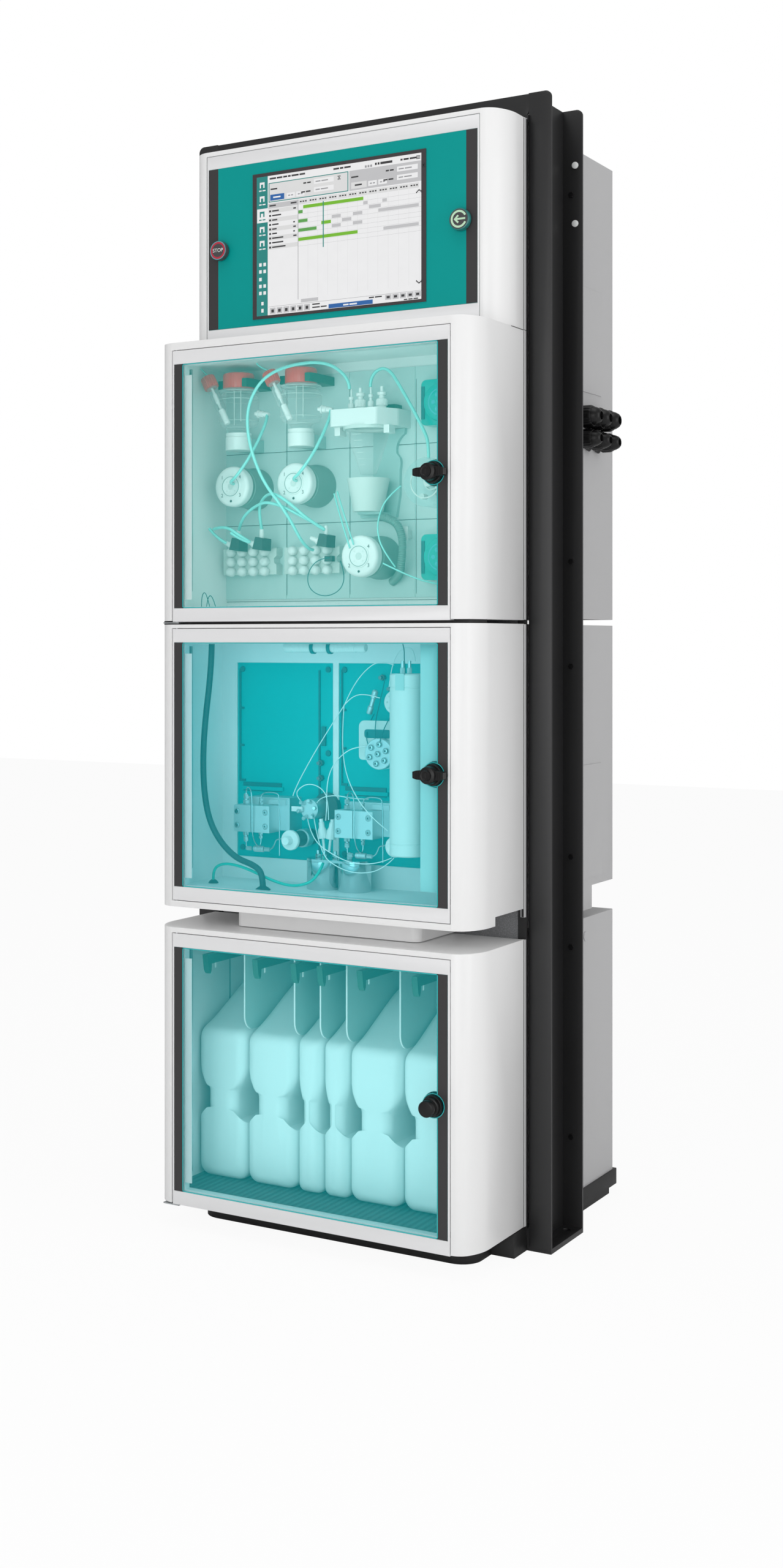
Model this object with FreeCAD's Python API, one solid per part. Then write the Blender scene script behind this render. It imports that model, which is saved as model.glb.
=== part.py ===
import FreeCAD, Part
import math
import os

# Process ion chromatograph: a free-standing analyser. Two black channel uprights carry a stack of
# white housings in front and grey electronics cabinets behind. All sizes are millimetres. X runs to
# the right, Y to the back and Z up; the origin is under the middle of the machine, on the floor.

V = FreeCAD.Vector

# Frame of two channel uprights and two cross bars
frame_height = 1810.0
frame_half_width = 330.0
flange_width = 38.0
frame_sheet = 4.0
frame_front = -81.5
channel_depth = 128.2
flange_corner = 10.0
foot_thickness = 8.0
anchor_pitch = 80.0
anchor_radius = 6.5
crossbar_height = 35.0
crossbar_drop = 1.0
crossbar_depth = 40.0
plinth_height = 38.0
plinth_inset = 42.0
plinth_reach = 117.0
plinth_corner = 35.0
plinth_bar_reach = 47.5
plinth_bar_gap = 3.0
tie_depth = 20.0
back_plate_thickness = 4.5
back_plate_gap = 11.0
back_plate_drop = 2.0

# White housings, stacked from the floor up
housing_gap = 2.8
frame_rise = 40.0
housing_depth = 193.5
hmi_depth = 92.5
corner_width = 38.0
corner_depth = 57.0
corner_nose_radius = 30.0
rim_inset = 3.2
rim_depth = 8.0
side_wall = 24.2
back_wall = 6.0
reagent_base = 40.0
reagent_height = 448.0
service_gap = 48.0
ic_height = 444.0
cabinet_gap = 6.0
prep_height = 452.0
floor_rise = 19.0
ceiling_drop = 12.0
pan_lip_depth = 77.4
pan_lip_height = 14.0
pan_half_width = 168.0
pan_reach = 134.0
pan_corner = 15.0
pan_clearance = 1.5

# Doors, their panes, pivots and locks
door_side = 37.7
door_height = 440.0
door_thickness = 20.0
door_gap = 1.2
door_drop = 1.5
ic_door_drop = 3.0
door_edge_round = 2.0
pane_rim = 3.5
pane_height = 396.5
pane_thickness = 6.0
pane_clearance = 0.3
strip_width = 16.6
ledge = 2.5
pivot_inset = 6.5
pivot_depth = 4.0
pivot_radius = 2.5
pivot_clearance = 0.05
pivot_engagement = 8.0
pivot_seat = 3.5
pivot_plate = 2.0
lock_inset = 27.5
lock_rise = 220.5
lock_swing = 27.0
running_gap = 0.3
rose_radius = 17.0
rose_proud = 6.0
rose_nut_radius = 20.0
rose_nut_thickness = 3.0
spindle_radius = 8.0
handle_reach = 27.5
wing_span = 51.0
wing_height = 13.0
wing_depth = 11.0
knob_radius = 12.4
tongue_thickness = 3.5
tongue_width = 12.0
hinge_strip_width = 36.0
hinge_strip_setback = 3.5
hinge_strip_thickness = 3.0
hinge_strip_foot = 50.0
hinge_strip_head = 28.0

# Operator panel
panel_rail = 22.0
panel_base = 12.5
panel_lip = 8.0
panel_thickness = 8.0
sheet_thickness = 4.0
panel_ledge = 13.0
bezel_half_width = 160.0
screen_above = 41.25
screen_below = 31.75
bezel_proud = 1.5
bezel_overlap = 4.0
display_depth = 24.0
button_inset = 29.5
stop_radius = 16.0
enter_radius = 17.0
button_height = 9.0
button_stem_radius = 6.0
button_stem_clearance = 0.5
button_travel = 2.0
button_rest_gap = 0.8

# Rear cabinets
cabinet_side_gap = 9.0
cabinet_depth = 376.0
cabinet_corner = 4.0
cabinet_lift = 4.0
neck_depth = 282.5
neck_height = 39.0
bay_depth = 131.5
base_gap = 8.0
base_toe_height = 9.0
base_toe_depth = 350.0
base_side_gap = 6.0
base_clearance = 2.0
cover_front = 151.5
cover_width = 170.5
cover_thickness = 1.5
upper_cover_base = 382.0
upper_cover_height = 176.0
middle_cover_base = 14.0
middle_cover_height = 191.0
cover_corner = 4.0
plug_radius = 8.0
plug_inset = 72.0
plug_drop = 31.0
gland_pitch = 41.0
gland_front = 212.0
gland_reach = 45.0
gland_waist = 0.85
gland_nose = 0.6
gland_rows = ((336.0, 19.5), (299.0, 17.0))
screw_radius = 5.0
screw_height = 2.0
screw_rises = (112.2, 418.9)
screw_ic_rises = (68.5, 376.2)
screw_prep_rise = 95.5
screw_top_drop = 96.2
blank_drops = (49.3, 143.2)
blank_offset = 7.0

# Sample preparation: wet panel with its column grid
wet_panel_thickness = 3.5
wet_panel_base = 20.5
wet_panel_height = 371.5
groove_width = 1.2
column_pitch = 121.6
column_inset = 60.6
vessel_radius = 42.0
vessel_wall = 2.5
vessel_standoff = 54.0
vessel_rise = 304.5
vessel_body_height = 60.0
vessel_shoulder = 9.0
neck_radius = 20.0
neck_length = 8.0
cap_radius = 24.5
cap_height = 29.0
base_cap_radius = 22.0
base_cap_height = 29.0
holder_thickness = 16.0
arm_radius = 9.0
arm_tilt = 27.0
arm_start = 42.0
arm_end = 72.0
arm_cap_radius = 12.5
arm_cap_length = 21.0
insert_radius = 5.0
outlet_length = 10.0
outlet_radius = 5.0
dosing_radius = 33.5
dosing_thickness = 18.0
dosing_reach = 79.0
dosing_upper_rise = 206.5
dosing_lower_rise = 85.0
drive_radius = 33.0
titration_thickness = 27.0
titration_rise = 293.5
titration_half_width = 53.5
titration_reach = 83.0
cone_top_radius = 37.5
cone_foot_radius = 13.0
cone_height = 76.0
column_thickness = 8.0
cup_rise = 157.5
cup_standoff = 46.0
cup_height = 53.0
cup_top_radius = 35.0
cup_foot_radius = 24.5
block_width = 106.0
block_height = 44.0
block_depth = 20.0
block_rise = 61.5
nut_margin = 5.0
nut_pitch_x = 22.2
nut_pitch_z = 16.5
nut_radius = 7.9
nut_length = 14.5
pump_size = 73.0
pump_depth = 31.0
pump_rises = (46.5, 292.0)
pump_corner = 8.0
cell_radius = 38.5
cell_reach = 84.0
cell_rise = 197.5
cell_drum_length = 48.0
tube_radius = 2.6

# Ion chromatography compartment
partition_depth = 15.5
partition_thickness = 3.0
module_base = 37.0
module_height = 328.0
module_inset = 30.0
module_width = 188.5
module_gap = 10.5
module_overlap = 4.0
oven_from_module = 388.0
oven_standoff = 102.5
oven_radius = 28.0
oven_base = 71.0
oven_height = 280.0
rail_width = 76.0
rail_depth = 4.0
rail_front = 5.0
cartridge_half_length = 74.5
cartridge_radius = 7.8
cartridge_drop = 18.0
cartridge_standoff = 106.0
valve_from_module = 306.0
valve_level = 222.0
valve_radius = 25.0
valve_reach = 62.0
valve_plate_thickness = 4.0
valve_plate_setback = 15.0
detector_radius = 19.0
detector_length = 37.0
detector_rise = 81.5
port_radius = 4.5
port_length = 14.0
selector_from_module = 171.0
selector_level = 128.5
selector_radius = 18.0
selector_reach = 45.0
port_circle = 14.0
pump_width = 69.2
pump_head_height = 44.0
pump_head_depth = 33.5
pump_body_depth = 38.5
pump_from_module = 38.5
pump_pitch = 193.0
pump_level = 86.5
knob_disc_radius = 16.5
knob_grip_radius = 7.0
knob_level = 77.0
knob_right_of_pump = 107.5
damper_radius = 27.0
damper_height = 50.0
damper_pitch = 58.0
damper_from_module = 199.0
damper_lid = 4.0
damper_standoff = 52.0
hose_radius = 5.0
hose_standoff = 114.0
capillary_radius = 0.9

# Reagent compartment
mat_thickness = 4.5
canister_front = -186.5
canister_length = 230.0
canister_gap = 0.3
narrow_bay = 48.5
spare_bay = 48.0
waist_low = 119.0
waist_high = 165.0
waist_depth = 30.0
shoulder_rise = 249.0
canister_height = 323.0
canister_corner = 18.0
divider_thickness = 2.0
divider_drop = 154.5
divider_corner = 25.0
hook_drop = 26.5
hook_length = 102.0
hook_reach = 45.0
hook_thickness = 16.0
hook_half_width = 5.0

# Heights and planes that follow from the sizes above
web_inner = frame_half_width - flange_width
housing_half_width = web_inner - housing_gap
cabinet_half_width = web_inner - cabinet_side_gap
base_half_width = web_inner - base_side_gap
plinth_half_width = web_inner - plinth_inset
plinth_bar_half_width = web_inner - plinth_bar_gap
back_plate_half_width = web_inner - back_plate_gap
cavity_half_width = housing_half_width - side_wall
door_half = housing_half_width - door_side
pane_half_width = door_half - pane_rim
frame_rear = frame_front + channel_depth
anchor_x = (web_inner + frame_half_width) / 2
anchor_y = (frame_front + frame_rear) / 2
plate_front = frame_front - back_plate_thickness
shell_back = plate_front - rim_depth
cavity_back = plate_front - back_wall
front = frame_front - housing_depth
hmi_front = frame_front - hmi_depth
reagent_top = reagent_base + reagent_height
ic_base = reagent_top + service_gap
ic_top = ic_base + ic_height
prep_base = ic_top + cabinet_gap
prep_top = prep_base + prep_height
hmi_top = frame_height - frame_rise
back_plate_top = hmi_top - back_plate_drop
door_back = front + door_thickness
recess_back = door_back + door_gap
pivot_x = pivot_inset - door_half
pivot_y = front + pivot_depth
lock_x = door_half - lock_inset
pane_margin = (door_height - pane_height) / 2
DOORS = {
    "prep": (prep_base - door_drop, prep_base, prep_top),
    "ic": (ic_base - ic_door_drop, ic_base, ic_top),
    "reagent": (reagent_base - door_drop, reagent_base, reagent_top),
}
prep_floor = DOORS["prep"][0] + floor_rise
prep_ceiling = DOORS["prep"][0] + door_height - ceiling_drop
ic_floor = DOORS["ic"][0] + floor_rise
ic_ceiling = DOORS["ic"][0] + door_height - ceiling_drop
reagent_floor = DOORS["reagent"][0] + floor_rise
reagent_ceiling = DOORS["reagent"][0] + door_height - ceiling_drop
cabinet_back = frame_front + cabinet_depth
upper_base = prep_base + cabinet_lift
middle_base = ic_base + cabinet_lift
neck_base = middle_base - neck_height
lower_base = reagent_base - cabinet_lift
panel_low = prep_top + panel_base
panel_high = hmi_top - panel_lip
screen_low = panel_low + screen_below
screen_high = panel_high - screen_above
screen_level = (screen_low + screen_high) / 2
screen_half_width = bezel_half_width - bezel_overlap
screen_half_height = (screen_high - screen_low) / 2 - bezel_overlap
button_x = door_half - button_inset
panel_front = cavity_back - wet_panel_thickness
partition_back = cavity_back - partition_depth + partition_thickness
partition_front = cavity_back - partition_depth
columns = [column_inset - cavity_half_width + i * column_pitch for i in range(4)]
vessel_y = panel_front - vessel_standoff
vessel_base = prep_floor + vessel_rise
vessel_top = vessel_base + vessel_body_height
dosing_upper = prep_floor + dosing_upper_rise
dosing_lower = prep_floor + dosing_lower_rise
titration_base = prep_floor + titration_rise
slab_top = titration_base + titration_thickness
cup_y = panel_front - cup_standoff
cup_base = prep_floor + cup_rise
block_base = prep_floor + block_rise
cell_level = prep_floor + cell_rise
module_left = module_inset - cavity_half_width
oven_x = module_left + oven_from_module
oven_y = partition_back - oven_standoff
valve_x = module_left + valve_from_module
damper_x = module_left + damper_from_module
wide_bay = (2 * cavity_half_width - spare_bay - 2 * narrow_bay) / 4
bay_widths = (wide_bay, wide_bay, narrow_bay, narrow_bay, wide_bay, wide_bay)
bay_edges = [sum(bay_widths[:i]) - cavity_half_width for i in range(7)]

AXES = {"x": V(1, 0, 0), "y": V(0, 1, 0), "z": V(0, 0, 1)}


def point(axis, a, b, h):
    """Point at height h along the axis, with a and b the other two coordinates in X, Y, Z order."""
    return {"x": V(h, a, b), "y": V(a, h, b), "z": V(a, b, h)}[axis]


def block(x0, x1, y0, y1, z0, z1):
    """Box between two corners."""
    return Part.makeBox(x1 - x0, y1 - y0, z1 - z0, V(x0, y0, z0))


def rod(axis, a, b, low, high, radius):
    """Round bar along an axis from low to high."""
    return Part.makeCylinder(radius, high - low, point(axis, a, b, low), AXES[axis])


def outline(corners, axis, h):
    """Closed wire through corners (a, b) or (a, b, r), each corner rounded by its r."""
    spots = [point(axis, c[0], c[1], h) for c in corners]
    radii = [c[2] if len(c) > 2 else 0.0 for c in corners]
    pieces = []
    for i, spot in enumerate(spots):
        if not radii[i]:
            pieces.append((spot, None, spot))
            continue
        back = (spots[i - 1] - spot).normalize()
        ahead = (spots[(i + 1) % len(spots)] - spot).normalize()
        half = back.getAngle(ahead) / 2
        reach = radii[i] / math.tan(half)
        inward = (back + ahead).normalize()
        crown = spot + inward * (radii[i] / math.sin(half) - radii[i])
        pieces.append((spot + back * reach, crown, spot + ahead * reach))
    edges = []
    for i, (start, crown, end) in enumerate(pieces):
        if crown is not None:
            edges.append(Part.Arc(start, crown, end).toShape())
        following = pieces[(i + 1) % len(pieces)][0]
        if end.distanceToPoint(following) > 1e-6:
            edges.append(Part.makeLine(end, following))
    return Part.Wire(edges)


def slab(corners, axis, low, high):
    """Outline drawn out along the axis from low to high."""
    face = Part.Face(outline(corners, axis, low))
    return face.extrude(AXES[axis] * (high - low))


def plate(x0, x1, z0, z1, y0, y1, r=0.0):
    """Upright plate facing the front, with its four corners rounded by r."""
    corners = [(x0, z0, r), (x1, z0, r), (x1, z1, r), (x0, z1, r)]
    return slab(corners, "y", y0, y1)


def prism(axis, a, b, low, high, radius, sides=6):
    """Regular bar, used for hexagon heads and for small faceted nuts."""
    turn = 2 * math.pi / sides
    corners = [(a + radius * math.cos(i * turn), b + radius * math.sin(i * turn)) for i in range(sides)]
    return slab(corners, axis, low, high)


def turned(profile, axis, a, b):
    """Closed profile of (radius, height) points turned once round an axis through (a, b)."""
    side = V(0, 1, 0) if axis == "x" else V(1, 0, 0)
    spots = [point(axis, a, b, h) + side * r for r, h in profile]
    face = Part.Face(Part.makePolygon(spots + spots[:1]))
    return face.revolve(point(axis, a, b, 0), AXES[axis], 360)


def tube(route, radius, sides=0):
    """Tube along a route of straight runs joined by tangent arcs, as large as the runs allow."""
    spots = [V(*p) for p in route]
    first = (spots[1] - spots[0]).normalize()
    if sides:
        side = first.cross(V(0, 0, 1))
        side = side.normalize() if side.Length > 0.1 else V(1, 0, 0)
        up = first.cross(side)
        ring = [spots[0] + (side * math.cos(t) + up * math.sin(t)) * radius
                for t in [2 * math.pi * i / sides for i in range(sides)]]
        section = Part.Face(Part.makePolygon(ring + ring[:1]))
    else:
        section = Part.Face(Part.Wire(Part.makeCircle(radius, spots[0], first)))
    solids = []
    here = spots[0]
    for i in range(1, len(spots) - 1):
        back = (spots[i - 1] - spots[i])
        ahead = (spots[i + 1] - spots[i])
        reach = 0.45 * min(back.Length, ahead.Length)
        back.normalize()
        ahead.normalize()
        turn = math.pi - back.getAngle(ahead)
        bend = reach / math.tan(turn / 2)
        start = spots[i] + back * reach
        run = start - here
        solids.append(section.extrude(run))
        section.translate(run)
        hinge = back.cross(ahead).normalize() * -1
        centre = start + hinge.cross(back * -1).normalize() * bend
        solids.append(section.revolve(centre, hinge, math.degrees(turn)))
        section.rotate(centre, hinge, math.degrees(turn))
        here = spots[i] + ahead * reach
    solids.append(section.extrude(spots[-1] - here))
    return solids[0].multiFuse(solids[1:]) if len(solids) > 1 else solids[0]


def both_sides(shape):
    """The shape and its mirror image across the middle plane."""
    return [shape, shape.mirror(V(0, 0, 0), V(1, 0, 0))]


def fuse(first, *rest):
    return first.fuse(list(rest)).removeSplitter()


def save(name, shapes):
    """Write one node: a solid, or a group of separate solids."""
    solids = [s for shape in shapes for s in shape.Solids]
    shape = solids[0] if len(solids) == 1 else Part.makeCompound(solids)
    shape.exportStep("parts/" + name + ".step")
    print(name, len(solids), "solids", round(shape.Volume / 1000), "cm3", shape.isValid())


# Frame

def upright():
    """Folded channel, open to the outside, with a drilled foot plate between its flanges."""
    web = block(web_inner, web_inner + frame_sheet, frame_front, frame_rear, 0, frame_height)
    corners = [(web_inner, 0), (frame_half_width, 0),
               (frame_half_width, frame_height, flange_corner), (web_inner, frame_height)]
    flange = slab(corners, "y", frame_front, frame_front + frame_sheet)
    rear = slab(corners, "y", frame_rear - frame_sheet, frame_rear)
    foot = block(web_inner + frame_sheet, frame_half_width, frame_front + frame_sheet,
                 frame_rear - frame_sheet, 0, foot_thickness)
    shape = fuse(web, flange, rear, foot)
    for side in (-1, 1):
        hole = rod("z", anchor_x, anchor_y + side * anchor_pitch / 2, -1, foot_thickness + 1, anchor_radius)
        shape = shape.cut(hole)
    return shape


def top_crossbar():
    """Folded angle between the uprights, with a tab bolted to each web."""
    top = frame_height - crossbar_drop
    low = top - crossbar_height
    back = frame_front + frame_sheet
    corners = [(-web_inner, low, flange_corner), (web_inner, low, flange_corner),
               (web_inner, top), (-web_inner, top)]
    face = slab(corners, "y", frame_front, back)
    lid = block(-web_inner, web_inner, back, frame_front + crossbar_depth, top - frame_sheet, top)
    tab = block(web_inner - frame_sheet, web_inner, back, frame_front + crossbar_depth,
                low + flange_corner, top - frame_sheet)
    return fuse(face, lid, *both_sides(tab))


def back_plate():
    """Textured plate behind the housings, open where the canister bay passes through."""
    sheet = plate(-back_plate_half_width, back_plate_half_width, lower_base, back_plate_top,
                  plate_front, frame_front)
    bay = block(-cavity_half_width, cavity_half_width, plate_front - 1, frame_front + 1,
                reagent_floor, reagent_ceiling)
    return sheet.cut(bay)


def front_plinth():
    """Plinth under the lowest door, with the bar and tie that join it to the uprights."""
    nose = frame_front - plinth_reach
    bar = frame_front - plinth_bar_reach
    corners = [(-plinth_half_width, bar), (-plinth_half_width, nose, plinth_corner),
               (plinth_half_width, nose, plinth_corner), (plinth_half_width, bar)]
    toe = slab(corners, "z", 0, plinth_height)
    beam = block(-plinth_bar_half_width, plinth_bar_half_width, bar, frame_front, 0, plinth_height)
    beam = beam.cut(block(-plinth_bar_half_width, plinth_bar_half_width, plate_front, frame_front,
                          lower_base, plinth_height))
    tie = block(-web_inner, web_inner, frame_front, frame_front + tie_depth, 0, lower_base)
    return fuse(toe, beam, tie)


def frame_screws():
    """Hexagon screws on the rear flanges, with two light blanking plugs near the top."""
    seat = frame_rear - frame_sheet
    levels = [reagent_base + rise for rise in screw_rises] + [ic_base + rise for rise in screw_ic_rises]
    levels += [prep_base + screw_prep_rise, hmi_top - screw_top_drop]
    shapes = []
    for z in levels:
        shapes += both_sides(prism("y", anchor_x, z, seat - screw_height, seat, screw_radius))
    for drop in blank_drops:
        shapes += both_sides(prism("y", anchor_x + blank_offset, hmi_top - drop, seat - screw_height, seat,
                                   screw_radius, 8))
    return shapes


# Rear cabinets

def cabinet(low, high, back):
    """Closed sheet metal cabinet with rounded upright rear edges."""
    w = cabinet_half_width
    corners = [(-w, frame_front), (w, frame_front), (w, back, cabinet_corner), (-w, back, cabinet_corner)]
    return slab(corners, "z", low, high)


def rear_upper_cabinet():
    return cabinet(upper_base, hmi_top, cabinet_back)


def rear_middle_cabinet():
    neck = cabinet(neck_base, middle_base, frame_front + neck_depth)
    return fuse(cabinet(middle_base, ic_top, cabinet_back), neck)


def rear_lower_cabinet():
    body = cabinet(lower_base, reagent_top, cabinet_back)
    bay = block(-cavity_half_width, cavity_half_width, frame_front - 1, frame_front + bay_depth,
                reagent_floor, reagent_ceiling)
    return body.cut(bay)


def rear_base():
    """Stepped base under the rear cabinets."""
    low_front = frame_front + tie_depth + base_clearance
    upper = block(-base_half_width, base_half_width, low_front, cabinet_back + base_gap,
                  base_toe_height, lower_base)
    toe = block(-base_half_width, base_half_width, low_front, frame_front + base_toe_depth,
                0, base_toe_height)
    return fuse(upper, toe)


def rear_covers():
    """Two access covers and a round blanking plug on the right side of the cabinets."""
    x0 = cabinet_half_width
    x1 = x0 + cover_thickness
    y0 = frame_front + cover_front
    y1 = y0 + cover_width
    shapes = []
    for base, height in ((upper_base + upper_cover_base, upper_cover_height),
                         (middle_base + middle_cover_base, middle_cover_height)):
        corners = [(y0, base, cover_corner), (y1, base, cover_corner),
                   (y1, base + height, cover_corner), (y0, base + height, cover_corner)]
        shapes.append(slab(corners, "x", x0, x1))
    shapes.append(prism("x", y1 - plug_inset, reagent_top - plug_drop, x0, x1, plug_radius, 12))
    return shapes


def cable_glands():
    """Two rows of three cable glands: a flange nut, a body and a domed clamping nut."""
    shapes = []
    for rise, radius in gland_rows:
        for i in range(3):
            y = frame_front + gland_front + i * gland_pitch
            z = upper_base + rise
            x = cabinet_half_width
            flange = prism("x", y, z, x, x + 8, radius)
            grip = prism("x", y, z, x + 8, x + gland_reach - 8, radius * gland_waist, 12)
            nose = prism("x", y, z, x + gland_reach - 8, x + gland_reach, radius * gland_nose, 12)
            shapes.append(fuse(flange, grip, nose))
    return shapes


# Housings

def shell_wire(nose, back, h):
    """Closed plan wire of a housing at height h; each front corner is two tangent arcs."""
    half = housing_half_width
    small = corner_nose_radius
    large = ((corner_depth - small) ** 2 + corner_width ** 2 - small ** 2) / (2 * (corner_width - small))
    inner = V(half - corner_width, nose + small, h)
    outer = V(half - large, nose + corner_depth, h)
    lean = (inner - outer).normalize()
    start = V(half - corner_width, nose, h)
    change = inner + lean * small
    end = V(half, nose + corner_depth, h)
    tight = Part.Arc(start, inner + (lean + V(0, -1, 0)).normalize() * small, change).toShape()
    wide = Part.Arc(change, outer + (lean + V(1, 0, 0)).normalize() * large, end).toShape()
    corner = [tight, wide, Part.makeLine(end, V(half, back, h))]
    edges = corner + [e.mirror(V(0, 0, 0), V(1, 0, 0)) for e in corner]
    edges.append(Part.makeLine(V(-start.x, nose, h), start))
    edges.append(Part.makeLine(V(half, back, h), V(-half, back, h)))
    return Part.Wire(Part.__sortEdges__(edges))


def shell_body(nose, low, high):
    """Outer form of a housing, with the inset rim behind."""
    wire = shell_wire(nose, shell_back, low)
    body = Part.Face(wire).extrude(V(0, 0, high - low))
    half = housing_half_width - rim_inset
    rim = block(-half, half, shell_back, plate_front, low + rim_inset, high - rim_inset)
    return fuse(body, rim)


def recess(door, low, nose=front):
    """Opening that the door closes, with its running gap."""
    base, _, _ = DOORS[door]
    half = door_half + door_gap
    return block(-half, half, nose - 1, recess_back, low, base + door_height + door_gap)


def cavity(low, high, back):
    return block(-cavity_half_width, cavity_half_width, recess_back - 1, back, low, high)


def pivot_bores(shape, door):
    """Seat of the upper pivot pin, drilled up into the lip over the door."""
    base = DOORS[door][0] + door_height + door_gap
    return shape.cut(rod("z", pivot_x, pivot_y, base, base + pivot_seat, pivot_radius))


def prep_housing():
    shape = shell_body(front, prep_base, prep_top)
    shape = shape.cut([recess("prep", prep_base - 1), cavity(prep_floor, prep_ceiling, cavity_back)])
    return pivot_bores(shape, "prep")


def ic_housing():
    """Housing with a pan lip below its door and a partition with two windows for the modules."""
    shape = shell_body(front, ic_base, ic_top)
    wire = shell_wire(front, front + pan_lip_depth, ic_base - pan_lip_height)
    lip = Part.Face(wire).extrude(V(0, 0, pan_lip_height))
    shape = fuse(shape, lip)
    low = DOORS["ic"][0] - door_gap
    shape = shape.cut([recess("ic", low), cavity(ic_floor, ic_ceiling, cavity_back)])
    wall = plate(-cavity_half_width, cavity_half_width, ic_floor, ic_ceiling,
                 partition_front, partition_back)
    wall = wall.cut([window(i) for i in range(2)])
    shape = fuse(shape, wall)
    shape = shape.cut(rod("z", pivot_x, pivot_y, low - pivot_seat, low, pivot_radius))
    return pivot_bores(shape, "ic")


def window(i):
    """Window in the partition for one module panel."""
    x = module_left + i * (module_width + module_gap)
    z = ic_floor + module_base
    return block(x, x + module_width, partition_front - 1, partition_back + 1, z, z + module_height)


def reagent_housing():
    shape = shell_body(front, reagent_base, reagent_top)
    shape = shape.cut([recess("reagent", reagent_base - 1),
                       cavity(reagent_floor, reagent_ceiling, plate_front + 1)])
    return pivot_bores(shape, "reagent")


def hmi_housing():
    """Housing of the operator panel, pocketed for the panel, the display and the button stems."""
    shape = shell_body(hmi_front, prep_top, hmi_top)
    back = hmi_front + panel_thickness
    shape = shape.cut(block(-door_half, door_half, hmi_front - 1, back, panel_low, panel_high))
    deep = hmi_front + display_depth
    shape = shape.cut(block(-screen_half_width, screen_half_width, back - 1, deep,
                            screen_level - screen_half_height, screen_level + screen_half_height))
    bore = button_stem_radius + button_stem_clearance
    for x in (-button_x, button_x):
        shape = shape.cut(rod("y", x, screen_level, back - 1, deep, bore))
    return shape


def hmi_frame():
    """White surround of the operator panel, stepped to take the coloured sheet."""
    low = panel_low + panel_rail
    high = panel_high - panel_rail
    back = hmi_front + panel_thickness
    shape = plate(-door_half, door_half, panel_low, panel_high, hmi_front, back)
    pocket = block(-pane_half_width, pane_half_width, hmi_front - 1, hmi_front + sheet_thickness, low, high)
    half = pane_half_width - panel_ledge
    through = block(-half, half, hmi_front - 1, back + 1, low + panel_ledge, high - panel_ledge)
    return shape.cut([pocket, through])


def hmi_front_sheet():
    """Coloured front sheet, cut out for the display and the two buttons."""
    back = hmi_front + sheet_thickness
    shape = plate(-pane_half_width, pane_half_width, panel_low + panel_rail, panel_high - panel_rail,
                  hmi_front, back)
    cuts = [block(-screen_half_width, screen_half_width, hmi_front - 1, back + 1,
                  screen_level - screen_half_height, screen_level + screen_half_height)]
    for x in (-button_x, button_x):
        cuts.append(rod("y", x, screen_level, hmi_front - 1, back + 1,
                        button_stem_radius + button_stem_clearance))
    return shape.cut(cuts)


def display():
    """Display unit: a bezel on the sheet and a body that passes through it."""
    bezel = plate(-bezel_half_width, bezel_half_width, screen_low, screen_high,
                  hmi_front - bezel_proud, hmi_front)
    half = screen_half_width - pane_clearance
    tall = screen_half_height - pane_clearance
    body = block(-half, half, hmi_front, hmi_front + display_depth - 1,
                 screen_level - tall, screen_level + tall)
    return fuse(bezel, body)


def button(x, radius):
    """Push button: a head on a stem that slides in the panel."""
    back = hmi_front - button_travel - button_rest_gap
    head = back - button_height
    tail = hmi_front + display_depth - button_travel - 1
    profile = [(0, head), (radius - 1, head), (radius, back), (button_stem_radius, back),
               (button_stem_radius, tail), (0, tail)]
    return turned(profile, "y", x, screen_level)


def bottom_pan():
    """Shallow drip tray hung under the middle housing."""
    half = pan_half_width
    nose = frame_front - pan_reach
    high = ic_base - pan_lip_height
    corners = [(-half, plate_front), (-half, nose, pan_corner), (half, nose, pan_corner), (half, plate_front)]
    tray = slab(corners, "z", reagent_top + pan_clearance, high)
    riser = block(-half, half, front + pan_lip_depth, plate_front, high, ic_base)
    return fuse(tray, riser)


def door_hinges():
    """Pivot pins, the plates that carry the lower pins, and the sealing strips behind the doors."""
    shapes = []
    for name, (base, low, top) in DOORS.items():
        head = base + door_height + door_gap
        shapes.append(rod("z", pivot_x, pivot_y, head - door_gap - pivot_engagement, head + pivot_seat,
                          pivot_radius))
        if name == "ic":
            foot = base - door_gap
            shapes.append(rod("z", pivot_x, pivot_y, foot - pivot_seat, base + pivot_engagement,
                              pivot_radius))
        else:
            shelf = base - running_gap * 2
            pin = rod("z", pivot_x, pivot_y, shelf - pivot_plate, base + pivot_engagement, pivot_radius)
            arm = block(-housing_half_width + corner_width / 2, pivot_x + 2 * pivot_radius,
                        pivot_y - pivot_radius, pivot_y + corner_depth / 2, shelf - pivot_plate, shelf)
            boss = block(-housing_half_width + corner_width / 2, -door_half - door_gap,
                         pivot_y + 4 * pivot_radius, pivot_y + corner_depth / 2, shelf, low)
            shapes.append(fuse(arm, pin, boss))
        face = door_back + hinge_strip_setback
        shapes.append(block(-cavity_half_width, hinge_strip_width - cavity_half_width, face,
                            face + hinge_strip_thickness, base + hinge_strip_foot,
                            base + door_height - hinge_strip_head))
    return shapes


# Doors

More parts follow.
